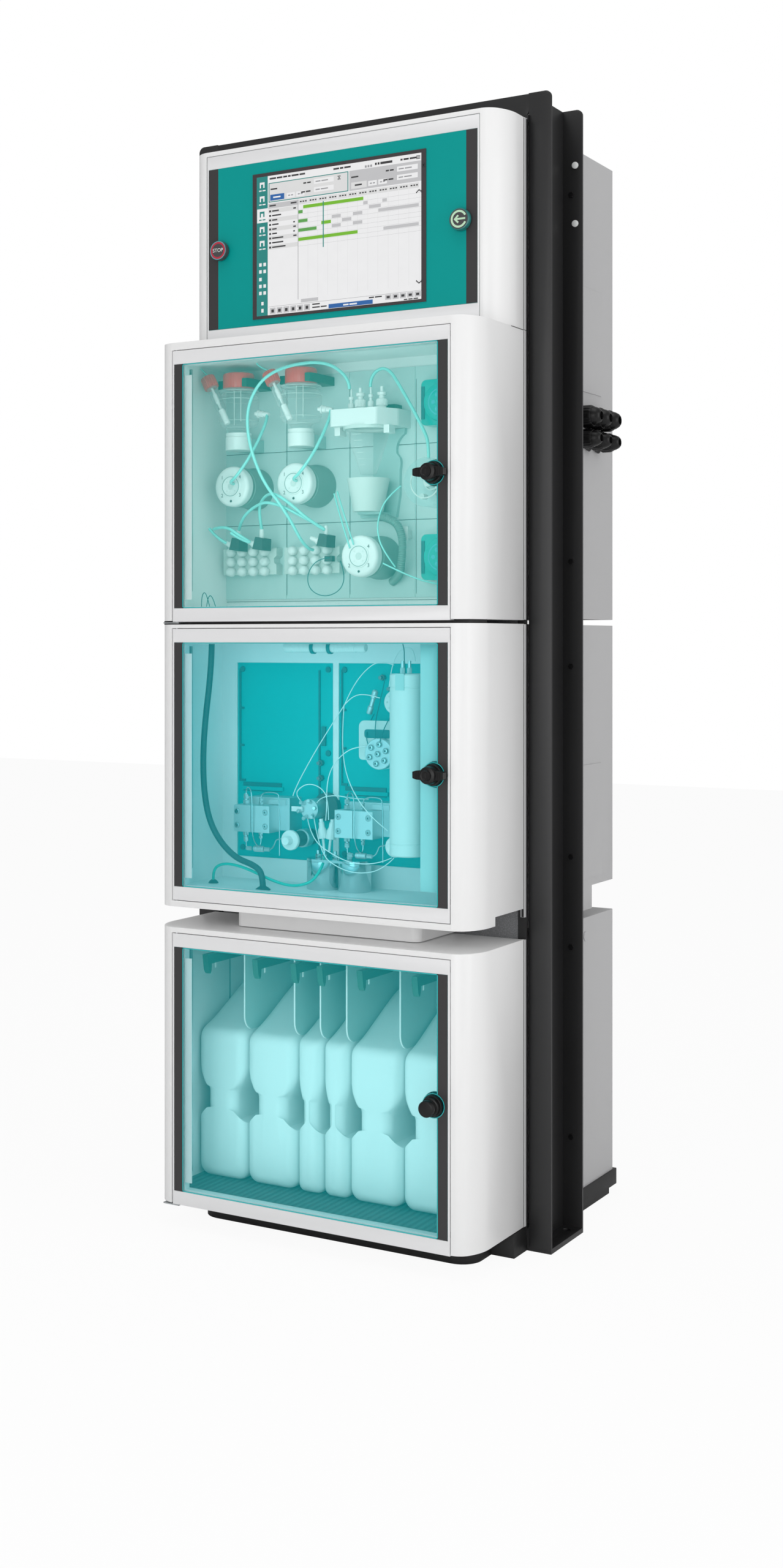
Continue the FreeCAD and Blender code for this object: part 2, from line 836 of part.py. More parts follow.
def door_frame(name):
    """Door frame, stepped to take the pane, with its lock pocket and pivot bores."""
    base = DOORS[name][0]
    top = base + door_height
    shape = plate(-door_half, door_half, base, top, front, door_back)
    corner = [e for e in shape.Edges if e.BoundBox.XMax < -door_half + 0.1
              and e.BoundBox.YMax < front + 0.1 and e.BoundBox.ZMax - e.BoundBox.ZMin > 1]
    shape = shape.makeFillet(door_edge_round, corner)
    low = base + pane_margin
    high = top - pane_margin
    pocket = block(-pane_half_width, pane_half_width, front - 1, front + pane_thickness, low, high)
    half = pane_half_width - strip_width
    through = block(-half, half, front - 1, door_back + 1, low + ledge, high - ledge)
    lock = rod("y", lock_x, base + lock_rise, front - 1, door_back + 1, rose_nut_radius + 1)
    pins = [rod("z", pivot_x, pivot_y, z, z + 2 * pivot_engagement, pivot_radius + pivot_clearance)
            for z in (base - pivot_engagement + 1, top - pivot_engagement - 1)]
    return shape.cut([pocket, through, lock] + pins)


def pane(name):
    """Clear pane, flush with the front of the door, drilled for the lock."""
    base = DOORS[name][0]
    half = pane_half_width - pane_clearance
    shape = plate(-half, half, base + pane_margin + pane_clearance,
                  base + door_height - pane_margin - pane_clearance, front, front + pane_thickness)
    return shape.cut(rod("y", lock_x, base + lock_rise, front - 1, front + pane_thickness + 1,
                         rose_radius + pane_clearance))


def lock_rose(name):
    """Collar that clamps the lock in the pane, bored for the spindle."""
    bore = spindle_radius + pivot_clearance
    back = front + pane_thickness
    tip = front - rose_proud
    profile = [(bore, tip), (rose_radius - 1, tip), (rose_radius, back),
               (rose_nut_radius, back), (rose_nut_radius, back + rose_nut_thickness),
               (bore, back + rose_nut_thickness)]
    return turned(profile, "y", lock_x, DOORS[name][0] + lock_rise)


def lock_spindle(name, tip):
    """Spindle through the rose, with the short tongue behind the door."""
    z = DOORS[name][0] + lock_rise
    cam = door_back + running_gap
    spindle = rod("y", lock_x, z, tip, cam + tongue_thickness, spindle_radius)
    half = tongue_width / 2
    corners = [(lock_x, z - half), (lock_x + lock_swing, z - half),
               (lock_x + lock_swing, z + half), (lock_x, z + half)]
    return fuse(spindle, slab(corners, "y", cam, cam + tongue_thickness))


def wing_handle(name):
    """Wing handle with a raised key cylinder, at rest across the door."""
    z = DOORS[name][0] + lock_rise
    seat = front - rose_proud - running_gap
    tip = front - handle_reach
    half = wing_span / 2
    rise = wing_height / 2
    corners = [(lock_x - half, z - rise), (lock_x + half, z - rise),
               (lock_x + half, z + rise), (lock_x - half, z + rise)]
    wings = slab(corners, "y", seat - wing_depth - 2, seat - 2)
    hub = rod("y", lock_x, z, seat - wing_depth - 5, seat, spindle_radius + 2)
    return fuse(lock_spindle(name, tip), hub, wings)


def round_knob(name):
    """Stepped round knob for the lowest door."""
    z = DOORS[name][0] + lock_rise
    seat = front - rose_proud - running_gap
    tip = front - handle_reach
    profile = [(0, tip), (knob_radius - 1.5, tip), (knob_radius, tip + 1.5), (knob_radius, seat - 6),
               (knob_radius + 2, seat - 6), (knob_radius + 2, seat), (0, seat)]
    return fuse(lock_spindle(name, tip + 1), turned(profile, "y", lock_x, z))


# Sample preparation compartment

def wet_panel():
    """Panel of the wet part, scored into a grid of fields."""
    low = prep_floor + wet_panel_base
    high = low + wet_panel_height
    shape = plate(-cavity_half_width, cavity_half_width, low, high, panel_front, cavity_back)
    cuts = []
    for i in range(3):
        x = columns[i] + column_pitch / 2
        cuts.append(block(x - groove_width / 2, x + groove_width / 2, panel_front - 1, panel_front + 1,
                          low - 1, high + 1))
    for z in (dosing_upper + column_pitch / 2, dosing_upper - column_pitch / 2):
        cuts.append(block(-cavity_half_width - 1, cavity_half_width + 1, panel_front - 1,
                          panel_front + 1, z - groove_width / 2, z + groove_width / 2))
    return shape.cut(cuts)


def arm_axis(x):
    """Axis of the tilted side arm of a vessel: a point inside the body and its direction."""
    tilt = math.radians(arm_tilt)
    return V(x - 4, vessel_y - vessel_radius * 0.6, vessel_base + 3), V(-math.sin(tilt), 0, math.cos(tilt))


def reaction_vessels():
    """Blown glass vessels: hollow body, two necks and a tilted side arm."""
    shapes = []
    shoulder = vessel_shoulder
    w = vessel_wall
    for x in columns[:2]:
        profile = [(neck_radius - w, vessel_base - neck_length), (neck_radius, vessel_base - neck_length),
                   (neck_radius, vessel_base - 2), (vessel_radius, vessel_base + shoulder),
                   (vessel_radius, vessel_top - shoulder), (neck_radius, vessel_top),
                   (neck_radius, vessel_top + neck_length), (neck_radius - w, vessel_top + neck_length),
                   (neck_radius - w, vessel_top - w), (vessel_radius - w, vessel_top - shoulder - 1),
                   (vessel_radius - w, vessel_base + shoulder + 1), (neck_radius - w, vessel_base)]
        body = turned(profile, "z", x, vessel_y)
        root, lean = arm_axis(x)
        arm = tube([root + lean * arm_start, root + lean * arm_end], arm_radius, 6)
        bore = tube([root + lean, root + lean * (arm_end + 1)], arm_radius - w, 6)
        shapes.append(fuse(body, arm).cut(bore))
    return shapes


def vessel_closures():
    """Red screw caps, white base caps and the capped inserts of the side arms."""
    shapes = []
    for x in columns[:2]:
        low = vessel_top + neck_length
        profile = [(0, low), (cap_radius, low), (cap_radius, low + cap_height - neck_length - 3),
                   (cap_radius - 3, low + cap_height - neck_length), (0, low + cap_height - neck_length)]
        shapes.append(turned(profile, "z", x, vessel_y))
        top = vessel_base - neck_length
        shapes.append(rod("z", x, vessel_y, top - base_cap_height, top, base_cap_radius))
        root, lean = arm_axis(x)
        cap = tube([root + lean * arm_end, root + lean * (arm_end + arm_cap_length)], arm_cap_radius, 10)
        insert = tube([root + lean * 3, root + lean * (arm_end + 1)], insert_radius, 6)
        shapes.append(fuse(cap, insert))
    return shapes


def vessel_holders():
    """Clamps that hold the red caps from the panel, and the slab of the titration stand."""
    shapes = []
    low = vessel_top + neck_length + 2
    for x in columns[:2]:
        corners = [(x - 10, panel_front), (x - 10, vessel_y + 20), (x - 31, vessel_y + 20),
                   (x - 31, vessel_y), (x, vessel_y), (x + 12, vessel_y - 27), (x + 31, vessel_y - 27),
                   (x + 44, vessel_y + 10), (x + 44, panel_front)]
        clamp = slab(corners, "z", low, low + holder_thickness)
        shapes.append(clamp.cut(rod("z", x, vessel_y, low - 1, low + holder_thickness + 1, cap_radius)))
    x0 = columns[2] - titration_half_width + 0.7
    x1 = columns[2] + titration_half_width
    nose = panel_front - titration_reach
    corners = [(x0, panel_front), (x0, nose, 8), (x1 - 16, nose, 8), (x1, nose + 30, 20), (x1, panel_front)]
    shapes.append(slab(corners, "z", titration_base, slab_top))
    for dx, dy, r, h in ((-10, -8, 8.5, 28), (29, -8, 8.5, 28), (-26, -8, 5, 34), (8, 0, 4.5, 36)):
        shapes.append(prism("z", columns[2] + dx, vessel_y + dy, slab_top, slab_top + h, r, 8))
    return shapes


def titration_stand():
    """Curved column behind the titration vessel, with the waste cup in front."""
    x = columns[2]
    corners = [(x + 52, titration_base), (x + 30, titration_base - 28, 30), (x + 36, titration_base - 70, 30),
               (x + 40, cup_base + 20, 20), (x + 30, cup_base - 8, 8), (x - 38, cup_base - 8, 8),
               (x - 38, cup_base + 45, 4), (x - 12, cup_base + 45, 4), (x - 12, titration_base)]
    column = slab(corners, "y", panel_front - column_thickness, panel_front)
    shelf = block(x - 20, x + 20, cup_y, panel_front - column_thickness, cup_base - 4, cup_base)
    cup = turned([(0, cup_base), (cup_foot_radius, cup_base), (cup_top_radius, cup_base + cup_height),
                  (cup_top_radius - 2, cup_base + cup_height), (cup_foot_radius - 2, cup_base + 3),
                  (0, cup_base + 3)], "z", x, cup_y)
    return [fuse(column, shelf, cup)]


def titration_vessel():
    """Conical measuring vessel, hollow and open into the slab above."""
    foot = titration_base - cone_height
    w = vessel_wall
    return turned([(0, foot), (cone_foot_radius, foot), (cone_top_radius, titration_base),
                   (cone_top_radius - w, titration_base), (cone_foot_radius - w, foot + w),
                   (0, foot + w)], "z", columns[2], cup_y)


def dosing_spots():
    return ((columns[0], dosing_upper), (columns[1], dosing_upper), (columns[2], dosing_lower))


def dosing_drives():
    reach = panel_front - dosing_reach + dosing_thickness
    return [rod("y", x, z, reach, panel_front, drive_radius) for x, z in dosing_spots()]


def dosing_heads():
    """White heads in front of the drives, with a raised centre."""
    nose = panel_front - dosing_reach
    back = nose + dosing_thickness
    shapes = []
    for x, z in dosing_spots():
        profile = [(0, nose), (dosing_radius - 5, nose), (dosing_radius, nose + 5), (dosing_radius, back),
                   (0, back)]
        shapes.append(turned(profile, "y", x, z))
    return shapes


def block_left(i):
    return columns[i] - block_width / 2


def manifold_blocks():
    """Two connection blocks with a waisted end, screwed to the panel."""
    shapes = []
    for i in range(2):
        x0 = block_left(i)
        shapes.append(plate(x0, x0 + block_width, block_base, block_base + block_height,
                            panel_front - block_depth, panel_front))
    return shapes


def nut_spots():
    spots = []
    for i in range(2):
        for row in range(3):
            for k in range(4):
                x = block_left(i) + block_width / 2 + (k - 1.5) * nut_pitch_x
                spots.append((x, block_base + nut_margin + row * nut_pitch_z))
    return spots


def manifold_nuts():
    back = panel_front - block_depth
    return [prism("y", x, z, back - nut_length, back, nut_radius) for x, z in nut_spots()]


def peristaltic_pumps():
    """Two tubing pumps in the right-hand column."""
    x = columns[3]
    half = pump_size / 2
    face = panel_front - pump_depth
    return [plate(x - half, x + half, z, z + pump_size, face, panel_front, pump_corner)
            for z in [prep_floor + rise for rise in pump_rises]]


def flow_cell():
    """Clear flow cell with a narrower neck at the panel."""
    x = columns[3]
    nose = panel_front - cell_reach
    drum = nose + cell_drum_length
    profile = [(0, nose), (cell_radius - 3, nose), (cell_radius, nose + 3), (cell_radius, drum),
               (cell_radius - 10, drum), (cell_radius - 10, panel_front), (0, panel_front)]
    return turned(profile, "y", x, cell_level)


def tube_fittings():
    """Dark elbow connectors on the manifold nuts and the outlet stubs of the vessels."""
    face = panel_front - block_depth - nut_length
    shapes = []
    for x, z in ((columns[0] - 4, block_base + 50), (columns[0] + 42, block_base + 50),
                 (columns[1] + 44, block_base + 52)):
        corners = [(x - 10, z - 9), (x + 9, z - 12), (x + 10, z + 8), (x - 4, z + 11)]
        body = slab(corners, "y", face - 28, face)
        barb = prism("z", x, face - 26 + 10, z + 4, z + 22, 4.0, 8)
        shapes.append(fuse(body, barb))
    for x in columns[:2]:
        z = vessel_base + 22
        x0 = x + vessel_radius
        shapes.append(prism("x", vessel_y, z, x0, x0 + outlet_length, outlet_radius, 8))
    return shapes


def prep_tubing():
    """Transparent hoses of the wet part, from fitting to fitting; each leaves its fitting straight."""
    a, b, c, d = columns
    y = vessel_y
    nose = panel_front - dosing_reach
    nuts = panel_front - block_depth - nut_length
    out_x = vessel_radius + outlet_length
    out_z = vessel_base + 22
    nut_x = b + nut_pitch_x / 2
    nut_z = block_base + nut_margin + 2 * nut_pitch_z
    big = [(c - 26, y - 8, slab_top + 34), (c - 26, y - 8, slab_top + 54), (c - 56, y - 44, slab_top + 80),
           (b - 27, y - 55, slab_top + 68), (b - 67, y - 57, slab_top + 21), (b - 69, y - 56, slab_top - 39),
           (b - 45, y - 50, slab_top - 109), (b - 7, y - 34, slab_top - 162),
           (nut_x, nuts - 24, nut_z), (nut_x, nuts, nut_z)]
    shapes = [tube(big, tube_radius, 4)]
    for x in (a, b):
        shapes.append(tube([(x + out_x, y, out_z), (x + out_x + 10, y, out_z), (x + out_x, y - 36, out_z - 66),
                            (x + 26, y - 46, out_z - 106), (x + 6, nose - 14, dosing_upper + 4),
                            (x + 6, nose, dosing_upper + 4)], tube_radius, 4))
    shapes.append(tube([(c + 8, y, slab_top + 36), (c + 8, y, slab_top + 56), (c + 34, y + 8, slab_top + 70),
                        (c + 62, y + 8, slab_top + 28), (c + 104, y + 6, slab_top - 42),
                        (d - 8, y - 2, cell_level + cell_radius + 22), (d - 8, y - 2, cell_level + cell_radius)],
                       tube_radius, 4))
    return shapes


# Ion chromatography compartment

def module_panels():
    """Two coloured panels behind the windows of the partition."""
    shapes = []
    for i in range(2):
        x = module_left + i * (module_width + module_gap)
        z = ic_floor + module_base
        shapes.append(plate(x - module_overlap, x + module_width + module_overlap, z - module_overlap,
                            z + module_height + module_overlap, partition_back, cavity_back))
    return shapes


def column_oven():
    """Heated column chamber on two arms."""
    low = ic_floor + oven_base
    high = low + oven_height
    body = rod("z", oven_x, oven_y, low, high, oven_radius)
    arms = [block(oven_x - 10, oven_x + 10, oven_y, partition_front, z, z + 20)
            for z in (low + 40, high - 60)]
    fittings = [prism("z", oven_x + dx, oven_y - 6, high, high + 20, 4.0) for dx in (-6, 6)]
    return [fuse(body, *arms)] + fittings


def side_rail():
    """Return flange beside the column chamber, standing on the floor."""
    low = ic_floor + 22
    y = door_back + rail_front
    return plate(cavity_half_width - rail_width, cavity_half_width, low, ic_ceiling - 6, y, y + rail_depth)


def trap_cartridge():
    """Packed cartridge clipped under the ceiling."""
    y = partition_front - cartridge_standoff
    z = ic_ceiling - cartridge_drop
    shapes = [rod("x", y, z, -cartridge_half_length, cartridge_half_length, cartridge_radius)]
    for x in (-21.0, 10.0):
        ring = prism("x", y, z, x - 3, x + 3, cartridge_radius + 2.5, 8)
        stem = block(x - 3, x + 3, y - 2, y + 2, z + cartridge_radius, ic_ceiling)
        shapes.append(fuse(ring, stem).cut(rod("x", y, z, x - 4, x + 4, cartridge_radius)))
    return shapes


def injection_valve():
    """Six-port valve in front of its mounting plate, with a disc-shaped detector window above."""
    z = ic_floor + valve_level
    nose = partition_back - valve_reach
    shapes = []
    stator = rod("y", valve_x, z, nose, partition_back, valve_radius)
    x0 = valve_x - 44
    x1 = valve_x + 24
    face = nose + valve_plate_setback
    sheet = plate(x0, x1, z - 11, z + 52, face, face + valve_plate_thickness, 8)
    slot = plate(x0 + 10, x1 - 10, z + 24, z + 38, face - 1, face + valve_plate_thickness + 1, 5)
    shapes.append(fuse(sheet.cut(slot), stator))
    for k in range(6):
        turn = math.radians(60 * k + 20)
        shapes.append(prism("y", valve_x + port_circle * math.cos(turn), z + port_circle * math.sin(turn),
                            nose - 6, nose, 4.0))
    shapes.append(prism("y", valve_x, z, nose - 6, nose, 4.0))
    shapes.append(prism("y", valve_x + 15, z + detector_rise, partition_back - detector_length,
                        partition_back, detector_radius, 12))
    for dx, dz in ((-24.0, 120.0), (0.0, 121.0), (-9.0, 102.0)):
        shapes.append(prism("y", valve_x + dx, z + dz, partition_back - port_length, partition_back,
                            port_radius))
    return shapes


def selector_valve():
    """Small six-port valve of the left module, with two ports above it."""
    x = module_left + selector_from_module
    z = ic_floor + selector_level
    nose = partition_back - selector_reach
    shapes = [prism("y", x, z, nose, partition_back, selector_radius, 12)]
    for k in range(6):
        turn = math.radians(60 * k)
        shapes.append(prism("y", x + 12 * math.cos(turn), z + 12 * math.sin(turn), nose - 6, nose, 3.2))
    for rise in (46.5, 71.5):
        shapes.append(prism("y", x - 5, z + rise, partition_back - port_length, partition_back, port_radius))
    return shapes


def pump_x(i):
    return module_left + pump_from_module + i * pump_pitch


def pump_blocks():
    """High-pressure pumps: a split steel head with four screws in front of the drive body."""
    z = ic_floor + pump_level
    shapes = []
    for i in range(2):
        x = pump_x(i)
        back = partition_back - pump_body_depth
        split = x + pump_width * 0.48
        nose = back - pump_head_depth
        for x0, x1 in ((x, split - 0.5), (split + 0.5, x + pump_width)):
            shapes.append(plate(x0, x1, z, z + pump_head_height, nose, back))
        shapes.append(plate(x + 8, x + pump_width + 20, z + 2, z + pump_head_height + 12, back,
                            partition_back))
        for dx in (6.5, pump_width - 8):
            for dz in (10.5, pump_head_height - 10.5):
                shapes.append(prism("y", x + dx, z + dz, nose - 2, nose, 3.8))
        for dx, length, r in ((14.0, 18.0, 5.0), (43.0, 12.0, 3.5)):
            y = nose + 16.5
            shapes.append(prism("z", x + dx, y, z + pump_head_height, z + pump_head_height + length, r))
            shapes.append(prism("z", x + dx, y, z - length, z, r))
        shapes.append(prism("y", x + knob_right_of_pump, ic_floor + knob_level, knob_seat() + 6,
                            partition_back, 13.0, 12).cut(knob_bore(i)))
    return shapes


def knob_seat():
    """Back plane of the purge knobs' discs."""
    return partition_back - pump_body_depth - pump_head_depth + 7


def knob_bore(i):
    seat = knob_seat()
    return rod("y", pump_x(i) + knob_right_of_pump, ic_floor + knob_level, seat + 5, seat + 15,
               4.0 + pivot_clearance)


def purge_knob(i):
    """Purge knob: a grip in front of a disc, on a stem that turns in the valve body."""
    seat = knob_seat()
    profile = [(0, seat - 19.5), (knob_grip_radius, seat - 19.5), (knob_grip_radius, seat - 6.5),
               (knob_disc_radius, seat - 6.5), (knob_disc_radius, seat), (4.0, seat), (4.0, seat + 14),
               (0, seat + 14)]
    return turned(profile, "y", pump_x(i) + knob_right_of_pump, ic_floor + knob_level)


def dampers():
    """Two steel pulse dampers on the floor, bridged by one lid."""
    y = partition_back - damper_standoff
    lid = damper_lid
    low = ic_floor
    high = low + damper_height
    xs = (damper_x, damper_x + damper_pitch)
    shapes = [rod("z", x, y, low, high - lid, damper_radius) for x in xs]
    r = damper_radius
    corners = [(xs[0] - r, y - r, r - 0.01), (xs[1] + r, y - r, r - 0.01), (xs[1] + r, y + r, r - 0.01),
               (xs[0] - r, y + r, r - 0.01)]
    shapes.append(slab(corners, "z", high - lid, high))
    for dx in (-5, 12, 46):
        shapes.append(prism("z", xs[0] + dx, y, high, high + 10, 4.0))
    return shapes


def drain_hose():
    """Dark waste hose from the ceiling to the floor, bowed to the right at the bottom."""
    y = partition_front - hose_standoff
    x = module_left
    z = ic_floor
    route = [(x + 25, ic_ceiling), (x + 25, z + 363), (x + 8, z + 245), (x + 8, z + 157), (x + 23, z + 95),
             (x + 65, z + 50), (x + 112, z + 38), (x + 124, z + 22), (x + 124, z)]
    return [tube([(a, y, b) for a, b in route], hose_radius, 6)]


def capillaries():
    """Bent steel and plastic capillaries between the pumps, dampers and valves."""
    shapes = []
    z = ic_floor + pump_level
    top = z + pump_head_height
    y = partition_back - pump_body_depth - pump_head_depth + 16.5
    for i in range(2):
        x = pump_x(i)
        nose = y - 21
        shapes.append(tube([(x + 14, y, top + 18), (x + 14, y, top + 28), (x + 36, nose, top + 30),
                            (x + 39, nose, top + 8), (x + 38, nose, z - 10), (x + 43, y, z - 30),
                            (x + 43, y, z - 12)], capillary_radius, 4))
        shapes.append(tube([(x + 43, y, top + 12), (x + 43, y, top + 21), (x + 76, y - 1, top + 22),
                            (x + 79, y, top + 12), (x + 79, y, ic_floor + module_base + 12)],
                           capillary_radius, 4))
    return shapes


# Reagent compartment

def floor_mat():
    return block(-cavity_half_width, cavity_half_width, recess_back, frame_front + bay_depth,
                 reagent_floor, reagent_floor + mat_thickness)


def canisters():
    """Blow-moulded reagent canisters: waisted sides, a shoulder and a top that rises to the back."""
    low = reagent_floor + mat_thickness
    shapes = []
    for i in range(6):
        x0 = bay_edges[i] + canister_gap + divider_thickness / 2
        x1 = bay_edges[i + 1] - canister_gap - divider_thickness / 2
        depth = min(waist_depth, (x1 - x0) / 5)
        c = canister_corner
        r = min(c, (x1 - x0) / 4)
        top = low + shoulder_rise
        slant = depth * 0.3
        corners = [(x0, low, r), (x1, low, r), (x1, low + waist_low),
                   (x1 - depth, low + waist_low + slant), (x1 - depth, low + waist_high - slant),
                   (x1, low + waist_high), (x1, top - 20, r), (x1 - r, low + canister_height),
                   (x0 + r, low + canister_height), (x0, top - 20, r), (x0, low + waist_high),
                   (x0 + depth, low + waist_high - slant), (x0 + depth, low + waist_low + slant),
                   (x0, low + waist_low)]
        back = canister_front + canister_length
        side = [(canister_front, low, c), (back, low), (back, low + canister_height),
                (back - 60, low + canister_height), (canister_front + 6, top, c)]
        form = slab(corners, "y", canister_front, back)
        shapes.append(form.common(slab(side, "x", x0, x1)))
    return shapes


def canister_dividers():
    """Dividers hung from the ceiling between the bays, and the hook over each canister."""
    shapes = []
    low = reagent_ceiling - divider_drop
    back = frame_front + bay_depth
    for x in bay_edges[1:-1]:
        corners = [(canister_front, low, divider_corner), (back, low), (back, reagent_ceiling),
                   (canister_front, reagent_ceiling)]
        shapes.append(slab(corners, "x", x - divider_thickness / 2, x + divider_thickness / 2))
    for i in range(6):
        x = (bay_edges[i] + bay_edges[i + 1]) / 2
        y = canister_front - hook_reach
        z = reagent_ceiling
        low = z - hook_drop - hook_thickness
        back = y + hook_length
        corners = [(y, z - hook_drop), (y + 6, low - hook_thickness), (y + 12, low - hook_thickness),
                   (y + 14, low), (back, low), (back, z), (back - 12, z), (back - 12, z - hook_drop)]
        shapes.append(slab(corners, "x", x - hook_half_width, x + hook_half_width))
    return shapes


def main():
    os.makedirs("parts", exist_ok=True)
    sides = both_sides(upright())
    save("right_upright", sides[:1])
    save("left_upright", sides[1:])
    single = (top_crossbar, back_plate, front_plinth, rear_base, rear_upper_cabinet, rear_middle_cabinet,
              rear_lower_cabinet, hmi_housing, prep_housing, ic_housing, reagent_housing, hmi_frame,
              hmi_front_sheet, display, bottom_pan, wet_panel, titration_vessel, flow_cell, floor_mat)
    for make in single:
        save(make.__name__, [make()])
    groups = (rear_covers, cable_glands, frame_screws, door_hinges, reaction_vessels, vessel_closures,
              dosing_drives, dosing_heads, manifold_blocks, peristaltic_pumps, prep_tubing,
              module_panels, trap_cartridge, pump_blocks, dampers, drain_hose, capillaries, canisters,
              canister_dividers)
    for make in groups:
        save(make.__name__, make())
    save("vessel_holders", vessel_holders() + titration_stand())
    save("manifold_fittings", manifold_nuts() + tube_fittings())
    save("column_oven", column_oven() + [side_rail()])
    save("rotary_valves", injection_valve() + selector_valve())
    save("stop_button", [button(-button_x, stop_radius)])
    save("enter_button", [button(button_x, enter_radius)])
    save("left_purge_knob", [purge_knob(0)])
    save("right_purge_knob", [purge_knob(1)])
    for name in DOORS:
        save(name + "_door_frame", [door_frame(name)])
        save(name + "_window", [pane(name)])
        save(name + "_lock_rose", [lock_rose(name)])
        handle = round_knob if name == "reagent" else wing_handle
        save(name + "_lock_handle", [handle(name)])


main()
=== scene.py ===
# %% [markdown]
# # A process ion chromatograph
# The machine is a tall black channel frame that carries four white housings in front and grey electronics
# cabinets behind. Three housings have doors with tinted panes, and the wet parts show through them. The solid
# model holds the real sizes and the moving bodies. This script adds what the eye sees: finishes, lamps, and
# finer pieces where the solids are plain. It loads the model first, because every piece is placed by it.
# %% Load the model
import math

import bmesh
import bpy
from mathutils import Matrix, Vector


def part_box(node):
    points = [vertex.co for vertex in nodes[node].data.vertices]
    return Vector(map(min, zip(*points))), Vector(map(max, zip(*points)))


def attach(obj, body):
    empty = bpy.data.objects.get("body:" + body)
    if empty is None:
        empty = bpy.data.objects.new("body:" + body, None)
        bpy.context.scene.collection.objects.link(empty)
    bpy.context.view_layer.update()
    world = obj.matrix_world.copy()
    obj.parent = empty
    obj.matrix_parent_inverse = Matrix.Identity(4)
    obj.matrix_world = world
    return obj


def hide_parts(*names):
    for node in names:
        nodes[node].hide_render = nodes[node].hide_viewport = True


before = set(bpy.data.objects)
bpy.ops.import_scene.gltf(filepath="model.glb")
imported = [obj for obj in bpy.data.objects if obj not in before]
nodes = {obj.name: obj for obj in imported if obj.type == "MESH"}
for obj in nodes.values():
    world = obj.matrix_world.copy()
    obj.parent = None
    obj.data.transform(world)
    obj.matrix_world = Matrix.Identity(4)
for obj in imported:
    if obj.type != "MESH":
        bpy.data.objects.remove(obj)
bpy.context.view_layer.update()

# %% [markdown]
# ## Camera and studio
# A camera can be placed by eye or worked out. Here its place was worked out from the machine's known width
# and height, and it looks level from the right front. The small shift does what a photographer's shift lens
# does: it frames a tall machine while the upright lines stay upright.
# %% Camera
MM = 0.001


def placed(name, data):
    """A new object in the scene."""
    item = bpy.data.objects.new(name, data)
    bpy.context.scene.collection.objects.link(item)
    return item


lens = bpy.data.cameras.new("lens")
lens.sensor_width = 36.0
lens.lens = 42.636
lens.shift_x = 0.0610
lens.shift_y = -0.0909
lens.clip_end = 50.0
camera = placed("camera", lens)
camera.location = Vector((1489.5, -2751.8, 952.6)) * MM
camera.rotation_euler = (math.radians(90), 0, math.radians(31.3))
bpy.context.scene.camera = camera
bpy.context.scene.view_settings.view_transform = "Standard"
print("camera", round(camera.location.length, 2), "m from the middle of the floor")

# %% [markdown]
# ## Shader sums
# A finish is a small network of nodes. Written node by node it is long and hard to follow, so one class holds
# an output and turns Python's operators into Math nodes, and one method makes any other node. A finish then
# reads like a formula.
# %% Wires and finishes
class Wire:
    """An output of a node. A sum of wires and numbers adds the Math nodes that work it out."""

    def __init__(self, finish, socket):
        self.finish = finish
        self.socket = socket

    def sum(self, operation, first, second):
        return self.finish.node("ShaderNodeMath", {"operation": operation}, {0: first, 1: second})

    def __add__(self, other):
        return self.sum("ADD", self, other)

    def __radd__(self, other):
        return self.sum("ADD", other, self)

    def __sub__(self, other):
        return self.sum("SUBTRACT", self, other)

    def __rsub__(self, other):
        return self.sum("SUBTRACT", other, self)

    def __mul__(self, other):
        return self.sum("MULTIPLY", self, other)

    def __rmul__(self, other):
        return self.sum("MULTIPLY", other, self)

    def __gt__(self, other):
        return self.sum("GREATER_THAN", self, other)

    def __pow__(self, other):
        return self.sum("POWER", self, other)


class Finish:
    """A material that is written as a formula."""

    def __init__(self, name):
        self.material = bpy.data.materials.new(name)
        self.material.use_nodes = True
        self.tree = self.material.node_tree
        self.shader = self.tree.nodes["Principled BSDF"]
        self.output = self.tree.nodes["Material Output"]
        self.place = self.node("ShaderNodeTexCoord", out="Object")

    def node(self, kind, settings=None, sockets=None, out=0):
        made = self.tree.nodes.new(kind)
        for key, value in (settings or {}).items():
            setattr(made, key, value)
        for key, value in (sockets or {}).items():
            self.feed(made.inputs[key], value)
        return Wire(self, made.outputs[out])

    def feed(self, socket, value):
        if isinstance(value, Wire):
            self.tree.links.new(value.socket, socket)
        else:
            socket.default_value = value

    def noise(self, scale, detail=2.0, stretch=(1, 1, 1)):
        spread = self.node("ShaderNodeVectorMath", {"operation": "MULTIPLY"}, {0: self.place, 1: stretch})
        return self.node("ShaderNodeTexNoise", {}, {"Vector": spread, "Scale": scale, "Detail": detail})

    def blend(self, first, second, share):
        return self.node("ShaderNodeMix", {"data_type": "RGBA"}, {0: share, 6: first, 7: second}, 2)

    def relief(self, height, strength, depth):
        return self.node("ShaderNodeBump", {}, {"Height": height, "Strength": strength,
                                                "Distance": depth * MM}, "Normal")

    def wear(self, **values):
        for key, value in values.items():
            self.feed(self.shader.inputs[key.replace("_", " ")], value)
        return self


def tone(code, lift=1.0):
    """A colour written as in a paint list, such as 00918C, as the linear numbers that shaders take."""
    parts = [int(code[i:i + 2], 16) / 255 for i in (0, 2, 4)]
    line = [p / 12.92 if p <= 0.04045 else ((p + 0.055) / 1.055) ** 2.4 for p in parts]
    return tuple(min(1.0, p * lift) for p in line) + (1.0,)


print("tone of the front sheet", [round(v, 3) for v in tone("00918C")])

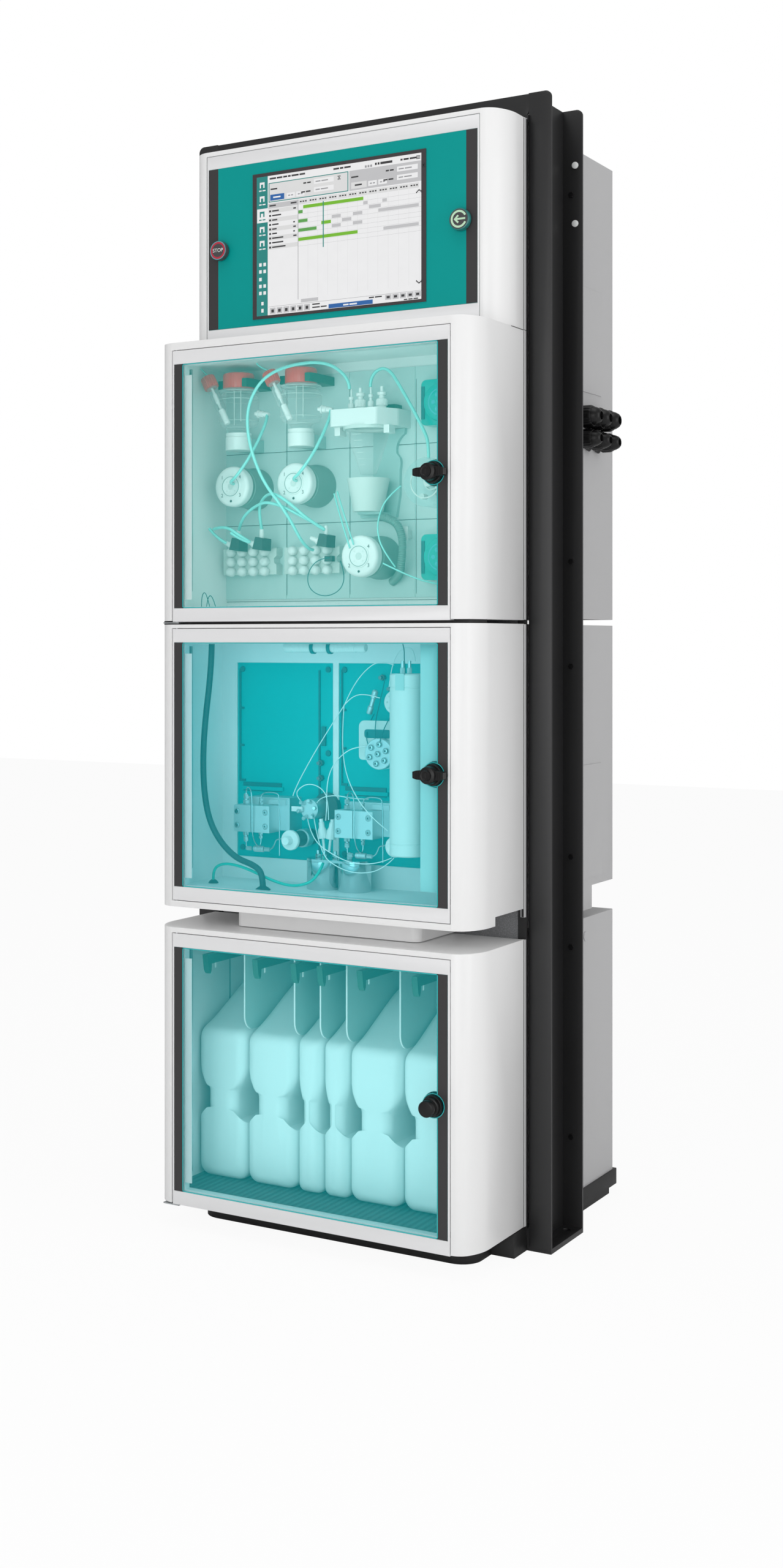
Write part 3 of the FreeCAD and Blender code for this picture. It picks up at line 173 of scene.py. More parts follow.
# %% [markdown]
# ## Lamps and backdrop
# Catalogue pictures of machines are lit by large soft lamps, on white. A white wall could be lit until it
# clips, but that would spill onto the machine, so the world shows white only to the camera and through glass,
# and lights at a plain level. The floor keeps the shadow. A tinted pane lets less light in than a real one
# does, so a weak fill lamp stands behind each pane and makes up for it.
# %% World, floor and lamps
world = bpy.data.worlds.new("studio")
bpy.context.scene.world = world
world.use_nodes = True
sky = world.node_tree
path = sky.nodes.new("ShaderNodeLightPath")
seen = sky.nodes.new("ShaderNodeMath")
seen.operation = "MAXIMUM"
sky.links.new(path.outputs["Is Camera Ray"], seen.inputs[0])
sky.links.new(path.outputs["Is Transmission Ray"], seen.inputs[1])
level = sky.nodes.new("ShaderNodeMapRange")
level.inputs["To Min"].default_value = 0.5
level.inputs["To Max"].default_value = 1.0
sky.links.new(seen.outputs[0], level.inputs["Value"])
sky.links.new(level.outputs[0], sky.nodes["Background"].inputs["Strength"])
sky.nodes["Background"].inputs["Color"].default_value = (1, 1, 1, 1)

ground = Finish("studio_floor")
ground.wear(Base_Color=(0.93, 0.93, 0.93, 1), Roughness=0.9)
rays = ground.node("ShaderNodeLightPath", out="Is Camera Ray")
white = ground.node("ShaderNodeEmission", {}, {"Strength": 1.0})
mixed = ground.node("ShaderNodeMixShader", {}, {0: rays * 0.93, 1: Wire(ground, ground.shader.outputs[0]),
                                                2: white})
ground.feed(ground.output.inputs["Surface"], mixed)


def quad_sheet(name, corners, material):
    mesh = bpy.data.meshes.new(name)
    mesh.from_pydata(corners, [], [(0, 1, 2, 3)])
    mesh.materials.append(material)
    return placed(name, mesh)


REACH, DROP = 9, -0.0005
floor = quad_sheet("studio_floor", [(-REACH, -REACH, DROP), (REACH, -REACH, DROP), (REACH, REACH, DROP),
                                    (-REACH, REACH, DROP)], ground.material)


def soft_lamp(name, place, aim, size, watts):
    lamp = bpy.data.lights.new(name, "AREA")
    lamp.shape = "RECTANGLE"
    lamp.size, lamp.size_y = size
    lamp.energy = watts
    item = placed(name, lamp)
    item.location = place
    item.rotation_euler = (Vector(aim) - Vector(place)).to_track_quat("-Z", "Y").to_euler()
    return item


soft_lamp("front_lamp", (0.7, -3.5, 1.2), (0, 0, 0.9), (2.0, 2.2), 35)
soft_lamp("right_lamp", (3.4, -0.6, 1.6), (0, 0, 0.9), (1.6, 2.6), 26)
soft_lamp("top_lamp", (0.2, -0.6, 3.6), (0, 0, 0.8), (2.0, 2.0), 20)
FILL_WATTS = {"prep": 0.3, "ic": 0.21, "reagent": 0.21}
FILL_SIZE, FILL_GAP = (0.42, 0.36), 0.012
for name, watts in FILL_WATTS.items():
    low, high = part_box(name + "_window")
    middle = (low + high) / 2
    lamp = soft_lamp(name + "_fill", (middle.x, high.y + FILL_GAP, middle.z), (middle.x, 1, middle.z),
                     FILL_SIZE, watts)
    lamp.visible_camera = False

# %% [markdown]
# ## Finishes
# Most of the machine is sheet metal with a powder coat. A coat like that is never one flat colour: it clouds
# a little, its gloss varies, and its fine orange-peel skin breaks up reflections. So one function makes every
# coated or moulded surface from two noises of different size, and each finish names only its own numbers.
# %% Coats and mouldings
def coat(name, code, rough=0.45, cloud=0.05, grain=420.0, relief=0.05, depth=0.15, **extra):
    made = Finish(name)
    drift = made.noise(3.5, 3.0)
    skin = made.noise(grain, 2.0)
    base = tone(code)
    low = tuple(v * (1 - cloud) for v in base[:3]) + (1,)
    high = tuple(min(1, v * (1 + cloud)) for v in base[:3]) + (1,)
    made.wear(Base_Color=made.blend(low, high, drift), Roughness=rough - 0.05 + drift * 0.1,
              Normal=made.relief(skin, relief, depth), **extra)
    return made.material


def speckled(name, code, fleck, rough=0.6, grain=650.0, relief=0.5):
    """Coarse coat with pale flecks, as on cabinet backs."""
    made = Finish(name)
    skin = made.noise(grain, 3.0)
    fine = made.noise(grain * 2.2, 2.0)
    flecks = (skin > 0.56) * 0.55
    made.wear(Base_Color=made.blend(tone(code), tone(fleck), flecks), Roughness=rough + fine * 0.15,
              Normal=made.relief(skin + fine * 0.5, relief, 0.25))
    return made.material


def metal(name, code, rough=0.3, stretch=(1, 1, 14), grain=240.0):
    """Machined metal: fine lines one way, in its gloss and its skin."""
    made = Finish(name)
    lines = made.noise(grain, 3.0, stretch)
    made.wear(Base_Color=made.blend(tone(code, 0.85), tone(code, 1.1), lines), Metallic=1.0,
              Roughness=rough - 0.08 + lines * 0.16, Normal=made.relief(lines, 0.08, 0.1))
    return made.material


def clear(name, tint, body="FFFFFF", share=0.04, edge=0.3, gloss=0.05):
    """Clear wall. Light from lamps and walls passes it, and the eye sees its tint, its haze and its gloss."""
    made = Finish(name)
    rim = made.node("ShaderNodeLayerWeight", {}, {"Blend": 0.35}, "Facing")
    drift = made.noise(7.0, 1.0)
    tinted = made.node("ShaderNodeBsdfTransparent", {}, {"Color": (*tint, 1)})
    made.wear(Base_Color=made.blend(tone(body, 0.95), tone(body), drift), Roughness=gloss)
    seen_wall = made.node("ShaderNodeMixShader", {}, {0: share + (rim ** 2.0) * (edge - share), 1: tinted,
                                                      2: Wire(made, made.shader.outputs[0])})
    lamp_rays = made.node("ShaderNodeLightPath", out="Is Shadow Ray")
    soft_rays = made.node("ShaderNodeLightPath", out="Is Diffuse Ray")
    passed = made.node("ShaderNodeBsdfTransparent", {}, {"Color": (1, 1, 1, 1)})
    mixed = made.node("ShaderNodeMixShader", {}, {0: lamp_rays + soft_rays, 1: seen_wall, 2: passed})
    made.feed(made.output.inputs["Surface"], mixed)
    return made.material


paint_white = coat("paint_white", "EDEDED", 0.38, 0.012, 500.0, 0.03)
door_white = coat("door_white", "E6E6E7", 0.34, 0.012, 500.0, 0.03)
frame_black = coat("frame_black", "1C1C1D", 0.38, 0.15, 600.0, 0.08)
plinth_black = coat("plinth_black", "101011", 0.5, 0.2, 600.0, 0.1)
plate_grey = speckled("plate_grey", "77787A", "9C9D9F")
cabinet_grey = coat("cabinet_grey", "BFBFC0", 0.5, 0.02, 900.0, 0.12)
sheet_teal = coat("sheet_teal", "009792", 0.42, 0.03, 300.0, 0.02, Specular_IOR_Level=0.15)
strip_dark = coat("strip_dark", "3A393A", 0.4, 0.05, 500.0, 0.02, Specular_IOR_Level=0.3)
# Painted highlight: a bright teal for the light that a pane's cut edge gathers.
pane_edge_highlight = coat("pane_edge_highlight", "19B3B5", 0.2, 0.05, 300.0, 0.02, Coat_Weight=0.5)
bezel_dark = coat("bezel_dark", "403C3E", 0.35, 0.05, 300.0, 0.02, Specular_IOR_Level=0.3)
moulded_black = coat("moulded_black", "0B0B0C", 0.36, 0.2, 700.0, 0.06, Specular_IOR_Level=0.35)
hinge_steel = metal("hinge_steel", "B9BDBF", 0.35)
steel = metal("steel", "E2E5E6", 0.5)
steel_bright = metal("steel_bright", "CDD1D3", 0.14, (1, 1, 20))
steel_dark = metal("steel_dark", "8A8E90", 0.4)
print(len(bpy.data.materials), "finishes so far")

# %% [markdown]
# The wet parts are plastics and glass. They are kept nearly white here, because the tinted panes in front of
# them give them their colour, as on the real machine.
# %% Wet part finishes
wall_white = coat("wall_white", "EEF2F2", 0.45, 0.02, 400.0, 0.03)
panel_pale = coat("panel_pale", "C6D6D5", 0.45, 0.03, 400.0, 0.03)
polymer_white = coat("polymer_white", "E4E6E5", 0.35, 0.02, 500.0, 0.03)
polymer_pale = coat("polymer_pale", "CFD6D3", 0.4, 0.03, 500.0, 0.03)
cap_red = coat("cap_red", "E0332F", 0.35, 0.06, 400.0, 0.04)
holder_dark = coat("holder_dark", "2F5A4C", 0.4, 0.08, 500.0, 0.05)
drive_green = coat("drive_green", "7D9691", 0.35, 0.08, 300.0, 0.04, Coat_Weight=0.2)
dark_detail = coat("dark_detail", "3B4A4A", 0.45, 0.1, 500.0, 0.04)
pump_teal = coat("pump_teal", "12A79E", 0.25, 0.05, 300.0, 0.02, Coat_Weight=0.4)
module_teal = coat("module_teal", "00ACAD", 0.45, 0.03, 700.0, 0.06, Specular_IOR_Level=0.2)
module_dark = coat("module_dark", "046A6E", 0.4, 0.05, 700.0, 0.06)
canister_skin = coat("canister_skin", "E3ECEC", 0.42, 0.03, 160.0, 0.06, depth=0.3)
divider_skin = coat("divider_skin", "A9C4C2", 0.35, 0.04, 300.0, 0.02)
hose_dark = coat("hose_dark", "20393B", 0.4, 0.1, 400.0, 0.05)
hose_light = coat("hose_light", "8FD8D2", 0.2, 0.06, 300.0, 0.02, Coat_Weight=0.5)
hose_green = coat("hose_green", "25B8A6", 0.25, 0.06, 300.0, 0.02, Coat_Weight=0.4)
hose_white = coat("hose_white", "E6EFEE", 0.3, 0.04, 300.0, 0.02)
vessel_glass = clear("vessel_glass", (0.985, 0.995, 0.995), "FFFFFF", 0.06, 0.7, 0.04)
cell_clear = clear("cell_clear", (0.9, 0.98, 0.98), "EAF6F5", 0.12, 0.5, 0.06)
pane_prep = clear("pane_prep", (0.88, 0.985, 0.98), "30F0E8", 0.115, 0.2, 0.08)
pane_ic = clear("pane_ic", (0.72, 0.965, 1.0), "00E8F0", 0.12, 0.2, 0.08)
pane_reagent = clear("pane_reagent", (0.78, 0.975, 0.99), "10E8EE", 0.12, 0.2, 0.08)


def ribbed_rubber():
    """Floor mat, ribbed across: the ribs are a wave in its skin, and the same wave paints shade in the
    grooves and light on the rib tops.
    """
    made = Finish("mat_rubber")
    rib_relief_and_shade = made.node("ShaderNodeTexWave", {"bands_direction": "X"},
                     {"Vector": made.place, "Scale": 26.0, "Distortion": 0.0})
    fine = made.noise(300.0)
    # Painted shade and light: the colour is darker in the grooves and lighter on the rib tops.
    made.wear(Base_Color=made.blend(tone("1C3A3B"), tone("3C5C5C"), rib_relief_and_shade), Roughness=0.55 + fine * 0.15,
              Normal=made.relief(rib_relief_and_shade, 0.4, 1.5))
    return made.material


mat_rubber = ribbed_rubber()
print(len(bpy.data.materials), "finishes in all")

# %% [markdown]
# ## Dressing the solids
# Solids whose shape is right keep it. Real sheet metal has no knife edges, though: a small rounding catches
# the light along every corner. A bevel that the viewer sees but the model doesn't need is a modifier, so the
# solid itself stays as it was measured.
# %% Finishes of the solids
DRESS = {
    paint_white: ("hmi_housing", "prep_housing", "ic_housing", "reagent_housing", "bottom_pan"),
    door_white: ("hmi_frame", "prep_door_frame", "ic_door_frame", "reagent_door_frame"),
    frame_black: ("left_upright", "right_upright", "top_crossbar"),
    plinth_black: ("front_plinth", "rear_base"),
    moulded_black: ("cable_glands", "frame_screws", "prep_lock_rose", "ic_lock_rose", "reagent_lock_rose",
                    "prep_lock_handle", "ic_lock_handle", "reagent_lock_handle"),
    plate_grey: ("back_plate",),
    cabinet_grey: ("rear_upper_cabinet", "rear_middle_cabinet", "rear_lower_cabinet", "rear_covers"),
    sheet_teal: ("hmi_front_sheet",),
    bezel_dark: ("display",),
    wall_white: ("column_oven",),
    panel_pale: ("wet_panel",),
    vessel_glass: ("reaction_vessels", "titration_vessel"),
    cell_clear: ("flow_cell",),
    cap_red: ("vessel_closures", "stop_button"),
    polymer_white: ("vessel_holders", "dosing_heads", "manifold_blocks", "manifold_fittings",
                    "trap_cartridge", "left_purge_knob", "right_purge_knob", "enter_button"),
    drive_green: ("dosing_drives",),
    pump_teal: ("peristaltic_pumps",),
    hose_light: ("prep_tubing",),
    module_teal: ("module_panels",),
    steel: ("rotary_valves", "pump_blocks"),
    steel_bright: ("dampers", "capillaries"),
    hinge_steel: ("door_hinges",),
    hose_dark: ("drain_hose",),
    canister_skin: ("canisters",),
    divider_skin: ("canister_dividers",),
    mat_rubber: ("floor_mat",),
    pane_prep: ("prep_window",),
    pane_ic: ("ic_window",),
    pane_reagent: ("reagent_window",),
}
ROUNDING = {"hmi_housing": 2.5, "prep_housing": 2.5, "ic_housing": 2.5, "reagent_housing": 2.5,
            "bottom_pan": 3.0, "front_plinth": 3.0, "rear_upper_cabinet": 2.0, "rear_middle_cabinet": 2.0,
            "rear_lower_cabinet": 2.0, "left_upright": 1.6, "right_upright": 1.6, "top_crossbar": 1.6,
            "hmi_frame": 1.2, "prep_door_frame": 1.2, "ic_door_frame": 1.2, "reagent_door_frame": 1.2}

SMALL_ROUNDING = 0.4
FLAT = ("hmi_front_sheet", "wet_panel", "module_panels", "display", "back_plate", "rear_covers")


def dress(name, material, rounding):
    solid = nodes[name]
    solid.data.materials.clear()
    solid.data.materials.append(material)
    if name in FLAT:
        return
    weld = solid.modifiers.new("weld", "WELD")
    weld.merge_threshold = 0.00002
    edge = solid.modifiers.new("edge", "BEVEL")
    edge.width = rounding * MM
    edge.segments = 3
    edge.limit_method = "ANGLE"
    edge.angle_limit = math.radians(40)
    edge.harden_normals = True
    solid.data.polygons.foreach_set("use_smooth", [True] * len(solid.data.polygons))


for material, names in DRESS.items():
    for name in names:
        dress(name, material, ROUNDING.get(name, SMALL_ROUNDING))
print("not dressed:", sorted(set(nodes) - {n for names in DRESS.values() for n in names}))

# %% [markdown]
# ## Tools for finer pieces
# The finer pieces are turned, extruded, boxed or bent from tube. One class collects such forms into a single
# mesh, so a fitting of many parts is one object that rides on one body. All sizes are in millimetres, and the
# angles from which an edge is bevelled or drawn sharp are in radians.
# %% A small workshop
RIGHT, INWARD, OUTWARD, UP = (1, 0, 0), (0, 1, 0), (0, -1, 0), (0, 0, 1)
POINT = 0.0001
BEVEL_FROM, SHARP_FROM = 0.6, 0.65
CHAMFER = 0.14


def limits(name):
    """The box of a node in millimetres: x0, x1, y0, y1, z0, z1."""
    low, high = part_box(name)
    return [value / MM for pair in zip(low, high) for value in pair]


def rod(radius, low, high):
    """Profile of a plain round bar."""
    return [(0, low), (radius, low), (radius, high), (0, high)]


def band(inner, outer, low, high):
    """Profile of a plain ring."""
    return [(inner, low), (outer, low), (outer, high), (inner, high), (inner, low)]


class Work:
    """Collects forms into one mesh. Each form takes the finish that is current when it is made."""

    def __init__(self, *finishes):
        self.mesh = bmesh.new()
        self.finishes = list(finishes)
        self.current = 0

    def use(self, finish):
        if finish not in self.finishes:
            self.finishes.append(finish)
        self.current = self.finishes.index(finish)
        return self

    def keep(self, faces, soften=0.0, steps=2):
        for face in faces:
            face.material_index = self.current
            face.smooth = True
        if soften:
            edges = {e for f in faces for e in f.edges if len(e.link_faces) == 2
                     and e.calc_face_angle(0) > BEVEL_FROM}
            bmesh.ops.bevel(self.mesh, geom=list(edges), offset=soften, segments=steps, profile=0.5,
                            affect="EDGES", clamp_overlap=True, material=self.current)
        return self

    def turn(self, profile, origin, axis, steps=48, ribs=0, rib=0.0):
        """Profile of (radius, height) turned round an axis; ribs cut flutes into its rim."""
        origin = Vector(origin)
        axis = Vector(axis).normalized()
        side = axis.orthogonal().normalized()
        other = axis.cross(side)
        rings = []
        for radius, height in profile:
            if radius <= POINT:
                rings.append([self.mesh.verts.new(origin + axis * height)])
                continue
            ring = []
            for i in range(steps):
                angle = 2 * math.pi * i / steps
                reach = radius * (1 + rib * (0.5 + 0.5 * math.cos(ribs * angle)) if ribs else 1)
                ring.append(self.mesh.verts.new(origin + axis * height
                                                + (side * math.cos(angle) + other * math.sin(angle)) * reach))
            rings.append(ring)
        faces = []
        for low, high in zip(rings, rings[1:]):
            for i in range(steps):
                j = (i + 1) % steps
                if len(low) == 1 and len(high) == 1:
                    continue
                if len(low) == 1:
                    faces.append(self.mesh.faces.new((low[0], high[j], high[i])))
                elif len(high) == 1:
                    faces.append(self.mesh.faces.new((low[i], low[j], high[0])))
                else:
                    faces.append(self.mesh.faces.new((low[i], low[j], high[j], high[i])))
        return self.keep(faces)

    def slab(self, corners, axis, low, high, soften=0.0, steps=2):
        """Outline of (a, b) points drawn out along X, Y or Z."""
        def spot(a, b, h):
            return {"x": (h, a, b), "y": (a, h, b), "z": (a, b, h)}[axis]
        base = [self.mesh.verts.new(spot(a, b, low)) for a, b in corners]
        lid = [self.mesh.verts.new(spot(a, b, high)) for a, b in corners]
        faces = [self.mesh.faces.new(base), self.mesh.faces.new(lid[::-1])]
        for i in range(len(corners)):
            j = (i + 1) % len(corners)
            faces.append(self.mesh.faces.new((base[i], lid[i], lid[j], base[j])))
        return self.keep(faces, soften, steps)

    def box(self, x0, x1, y0, y1, z0, z1, soften=0.0, steps=2):
        return self.slab([(x0, z0), (x1, z0), (x1, z1), (x0, z1)], "y", y0, y1, soften, steps)

    def mirrored(self, near, far, *rest):
        """The same box on the left and on the right."""
        for side in (-1, 1):
            self.box(*sorted((side * near, side * far)), *rest)

    def hexagon(self, origin, axis, radius, low, high):
        """A nut with its corners taken off."""
        cut = radius * CHAMFER
        return self.turn([(0, low), (radius - cut, low), (radius, low + cut), (radius, high - cut),
                          (radius - cut, high), (0, high)], origin, axis, 6)

    def make(self, name, slot, replaced=(), body="frame"):
        bmesh.ops.recalc_face_normals(self.mesh, faces=self.mesh.faces)
        for edge in self.mesh.edges:
            edge.smooth = len(edge.link_faces) == 2 and edge.calc_face_angle(0) < SHARP_FROM
        for vert in self.mesh.verts:
            vert.co *= MM
        mesh = bpy.data.meshes.new(name)
        self.mesh.to_mesh(mesh)
        self.mesh.free()
        for finish in self.finishes:
            mesh.materials.append(finish)
        print("%s: %d faces in %d finishes, on %s" % (name, len(mesh.polygons), len(self.finishes), body))
        return settle(placed(name, mesh), body, replaced)


def settle(piece, body, replaced=()):
    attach(piece, body)
    if replaced:
        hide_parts(*replaced)
    return piece


def arc(x, z, radius, start, end, count):
    """Points (x, z) on an arc, angles in degrees."""
    turns = [math.radians(start + (end - start) * i / count) for i in range(count + 1)]
    return [(x + radius * math.cos(t), z + radius * math.sin(t)) for t in turns]


def soft_outline(x0, x1, z0, z1, radius, count=5):
    """Rectangle with round corners."""
    corners = ((x1 - radius, z0 + radius, -90), (x1 - radius, z1 - radius, 0), (x0 + radius, z1 - radius, 90),
               (x0 + radius, z0 + radius, 180))
    return [spot for x, z, start in corners for spot in arc(x, z, radius, start, start + 90, count)]


def lay(curve, route, scale):
    """A smooth line with the points of a route as its control points."""
    spline = curve.splines.new("NURBS")
    spline.points.add(len(route) - 1)
    for spot, place in zip(spline.points, route):
        spot.co = (place[0] * scale, place[1] * scale, place[2] * scale, 1)
    spline.order_u = 3
    spline.use_endpoint_u = True


def pipe(name, routes, radius, finish, replaced=(), round_steps=3):
    """Tubes of one size, each on a smooth curve that the few points of its route guide."""
    curve = bpy.data.curves.new(name, "CURVE")
    curve.dimensions = "3D"
    curve.bevel_depth = radius * MM
    curve.bevel_resolution = round_steps
    curve.resolution_u = 8
    curve.use_fill_caps = True
    for route in routes:
        lay(curve, route, MM)
    curve.materials.append(finish)
    print("%s: %d lines, %.1f mm thick" % (name, len(routes), 2 * radius))
    return settle(placed(name, curve), "frame", replaced)


LETTER_DEPTH = 0.1


def mark(name, text, x, y, z, size, finish, body):
    """Plain figures or letters, cut as thin plates that face the front."""
    curve = bpy.data.curves.new(name, "FONT")
    curve.body = text
    curve.size = size * MM
    curve.extrude = LETTER_DEPTH * MM
    curve.align_x = "CENTER"
    curve.align_y = "CENTER"
    curve.materials.append(finish)
    piece = placed(name, curve)
    piece.location = (x * MM, y * MM, z * MM)
    piece.rotation_euler = (math.radians(90), 0, 0)
    return settle(piece, body)


# %% [markdown]
# ## Operator panel
# The panel is a teal sheet with a dark border on each side, a screen in a dark bezel, and two round keys. The
# screen could carry a picture, but a picture is a file. Its page is built instead from thin coloured fields,
# the way a display draws it: a side menu, two job cards, a time grid with bars, and a tool row.
# %% Screen page
GLOW = 0.9


def glow(name, code):
    made = Finish(name)
    drift = made.noise(60.0, 1.0)
    made.wear(Base_Color=(0.02, 0.02, 0.02, 1), Roughness=0.2,
              Emission_Color=made.blend(tone(code, 0.96), tone(code), drift))
    made.shader.inputs["Emission Strength"].default_value = GLOW
    return made.material


glass_y = limits("display")[2]
SCREEN = (-152.0, 1487.0, 304.0, 228.0)
LAYER, SINK = 0.12, 0.05
PAGE = (("white", "F4F4F5"), ("pale", "E2E2E2"), ("grey", "C6C6C8"), ("line", "9B9B9E"), ("ink", "2B2B2E"),
        ("teal", "00857F"), ("green", "76BD1D"), ("leaf", "5AA54B"), ("blue", "1660A9"))


def screen_page():
    colours = [glow("page_" + name, code) for name, code in PAGE]
    white, pale, grey, line, ink, teal, green, leaf, blue = colours
    left, base, wide, tall = SCREEN
    page = Work(white)
    drawn = []

    def field(finish, u0, u1, v0, v1, layer=1):
        """Field in page units: u runs 0 to 100 to the right, v 0 to 100 down."""
        page.use(finish)
        page.box(left + wide * u0 / 100, left + wide * u1 / 100, glass_y - LAYER * layer, glass_y + SINK,
                 base + tall * (1 - v1 / 100), base + tall * (1 - v0 / 100))
        drawn.append(finish)

    def words(finish, u, v, lengths, size=0.7, layer=5):
        """A row of short dashes that stands for a line of small print."""
        for length in lengths:
            field(finish, u, u + length, v, v + size, layer)
            u += length + 0.6

    field(white, 0, 100, 0, 100)
    field(teal, 0, 7, 0, 100, 2)
    for i, v in enumerate((5, 15, 26, 37, 47)):
        if i == 2:
            field(white, 0.3, 7, v - 3, v + 7, 3)
        figure = teal if i == 2 else white
        field(figure, 2, 5, v - 1, v + 3, 4)
        field(white if i == 2 else teal, 2.8, 4.2, v + 0.5, v + 3, 5)
        words(figure, 1.6, v + 4.6, (1.6, 1.8), 0.8, 5)
    for i, v in enumerate((62, 67, 72.5, 77.5, 82.5)):
        field(white, 1.6, 3.2, v, v + 2.4, 4)
        if i != 2:
            field(white, 4.3, 5.9, v, v + 2.4, 4)
    field(white, 3, 4.4, 90, 92.4, 4)
    field(white, 3, 4.4, 95, 97.6, 4)
    words(ink, 8.3, 1.6, (4, 3.4, 2.4, 1.6, 4.4, 3.4), 1.2)
    words(ink, 48, 1.6, (3.4, 2.0, 3.8), 1.2)
    words(line, 67, 3, (1, 1, 1), 1.6)
    words(ink, 73, 2.2, (1, 1, 7), 1.6)
    words(ink, 88, 2.2, (1.2, 3, 4), 1.2)
    for i in range(3):
        field(ink, 97.2, 99.4, 1.6 + i * 0.9, 2.1 + i * 0.9, 4)
    field(teal, 7.6, 57, 5.2, 19.2, 2)
    field(pale, 8.1, 56.5, 5.8, 18.6, 3)
    field(grey, 57.6, 100, 5.2, 19.2, 2)
    for u in (8.1, 58.0):
        words(ink, u + 0.8, 9.4, (4.2,), 1.0, 6)
        words(ink, u + 21.4, 8.4, (1.8, 2.2), 1.0, 6)
        words(ink, u + 20, 14.6, (2.4, 2.8), 1.0, 6)
        field(white, u + 28, u + 40, 7.2, 10.6, 5)
        field(white, u + 28, u + 40, 13, 16.4, 5)
        words(line, u + 29, 8.6, (3, 4), 0.8, 7)
        words(line, u + 29, 14.4, (2.6, 4.4), 0.8, 7)
        for k in (11, 17):
            field(white, u + k, u + k + 5, 14.2, 17.6, 5)
            words(line, u + k + 1, 15.6, (1.2, 1.2), 0.8, 7)
        for k in range(3):
            for start in (u + 42.6 + k * 0.5, u + 43.6 - k * 0.5):
                field(ink, start, start + 0.5, 7.2 + k, 8.2 + k, 6)
    field(blue, 8.7, 17.5, 13.8, 18, 5)
    words(white, 10.6, 15.4, (4.6,), 1.0, 7)
    field(pale, 58.8, 68, 13.6, 18, 5)
    words(ink, 61, 15.2, (4.2,), 1.1, 7)
    field(grey, 7.4, 26, 20, 23.6, 2)
    words(ink, 8.2, 21.2, (4,), 1.0, 6)
    words(ink, 21.6, 21.2, (3.6,), 1.0, 6)
    for k in range(12):
        u = 26.4 + k * 6.05
        field(pale, u, u + 5.8, 20, 23.6, 2)
        words(ink, u + 1, 21.2, (1, 1, 0.9), 0.9, 6)
    rows = ((4.2, 1.6), (5.6, 0), (3.2, 0), (4, 1), (2.8, 1.6), (3, 1), (7, 2), (7, 0), (8.4, 0))
    for i, (length, value) in enumerate(rows):
        v = 24 + i * 3.25
        field(pale if i % 2 == 0 else white, 7.4, 26, v, v + 3.1, 2)
        field(ink, 8.0, 9.2, v + 0.9, v + 2.3, 5)
        words(ink, 9.9, v + 1.1, (length,), 1.0, 5)
        if value:
            words(ink, 23.2, v + 1.1, (value,), 1.0, 5)
        field(line, 26, 100, v + 3.15, v + 3.22, 3)
    for k in range(13):
        u = 26.2 + k * 6.05
        field(pale, u, u + 0.12, 24, 90, 2)
    field(line, 26.0, 26.25, 20, 91, 3)
    for finish, row, u0, u1 in (
            (green, 0, 29.4, 66), (grey, 1, 66, 68.6), (grey, 1, 77.4, 80),
            (leaf, 1, 26.4, 29), (grey, 2, 69.4, 76.4), (grey, 3, 59.8, 65.4),
            (grey, 3, 75, 98.6), (leaf, 3, 26.4, 32), (grey, 3, 47, 52.4),
            (grey, 4, 53.2, 58.8), (grey, 5, 59.8, 65.4), (green, 4, 40.6, 46.4),
            (leaf, 5, 26.4, 37.6), (grey, 5, 47, 52.4), (green, 7, 26.4, 62.6),
            (grey, 7, 78, 98.6)):
        v = 24.5 + row * 3.25
        field(finish, u0, u1, v, v + 2.3, 5)
    field(teal, 41.5, 42.0, 23.6, 56, 6)
    field(grey, 28, 38.6, 91, 93.4, 4)
    field(line, 7.4, 100, 94.0, 94.2, 4)
    for k in range(6):
        u = 8.4 + k * 4.3
        field(grey, u, u + 3.6, 95.0, 99.4, 3)
        field(ink, u + 1.0, u + 2.6, 96.2, 98.4, 5)
    field(white, 25.6, 26.5, 96.8, 98, 7)
    words(ink, 35, 95.2, (4.6,), 0.9, 5)
    words(ink, 35, 97.4, (4.6, 3.6), 0.9, 5)
    field(blue, 45, 71.6, 96.8, 99.8, 4)
    words(white, 54, 97.9, (3.2, 4.4), 1.0, 7)
    words(ink, 69.4, 94.9, (3, 4), 0.9, 5)
    for k in range(5):
        u = 79 + k * 4.3
        field(grey, u, u + 3.6, 94.6, 98.2, 3)
        field(ink, u + 0.9, u + 2.7, 95.6, 97.2, 5)
    words(ink, 90, 98.9, (2, 2.4, 2.6), 0.8, 5)
    for u, v, lean in ((97, 25, 1), (97, 88.4, -1)):
        for k in range(3):
            rise = v + lean * (1.4 - 0.7 * k)
            for start in (u + 0.6 * k, u + 3 - 0.6 * k):
                field(ink, start, start + 0.6, rise, rise + 0.9, 5)
    print(len(drawn), "fields on the page")
    return page.make("screen_page", "display_bezel")


screen_page()

# %% [markdown]
# The two keys are turned like buttons. Each has a printed face, so its rings are bands of the same turned
# face in different finishes, and it rides on the body that the solid key had, because it can be pressed.
# %% Keys and borders
ring_red = coat("ring_red", "B5213A", 0.3, 0.05, 300.0, 0.02, Coat_Weight=0.4)
ring_blue = coat("ring_blue", "3FA9B5", 0.3, 0.05, 300.0, 0.02, Coat_Weight=0.4)
ring_green = coat("ring_green", "BFE0C0", 0.3, 0.05, 300.0, 0.02, Coat_Weight=0.4)
key_dark = coat("key_dark", "3F3D40", 0.3, 0.08, 300.0, 0.02, Coat_Weight=0.4)
key_teal = coat("key_teal", "1D6E6B", 0.3, 0.08, 300.0, 0.02, Coat_Weight=0.4)


KEY_X = 222.0
KEY_Z = sum(limits("stop_button")[4:]) / 2
LETTER_HEIGHT = 8.6


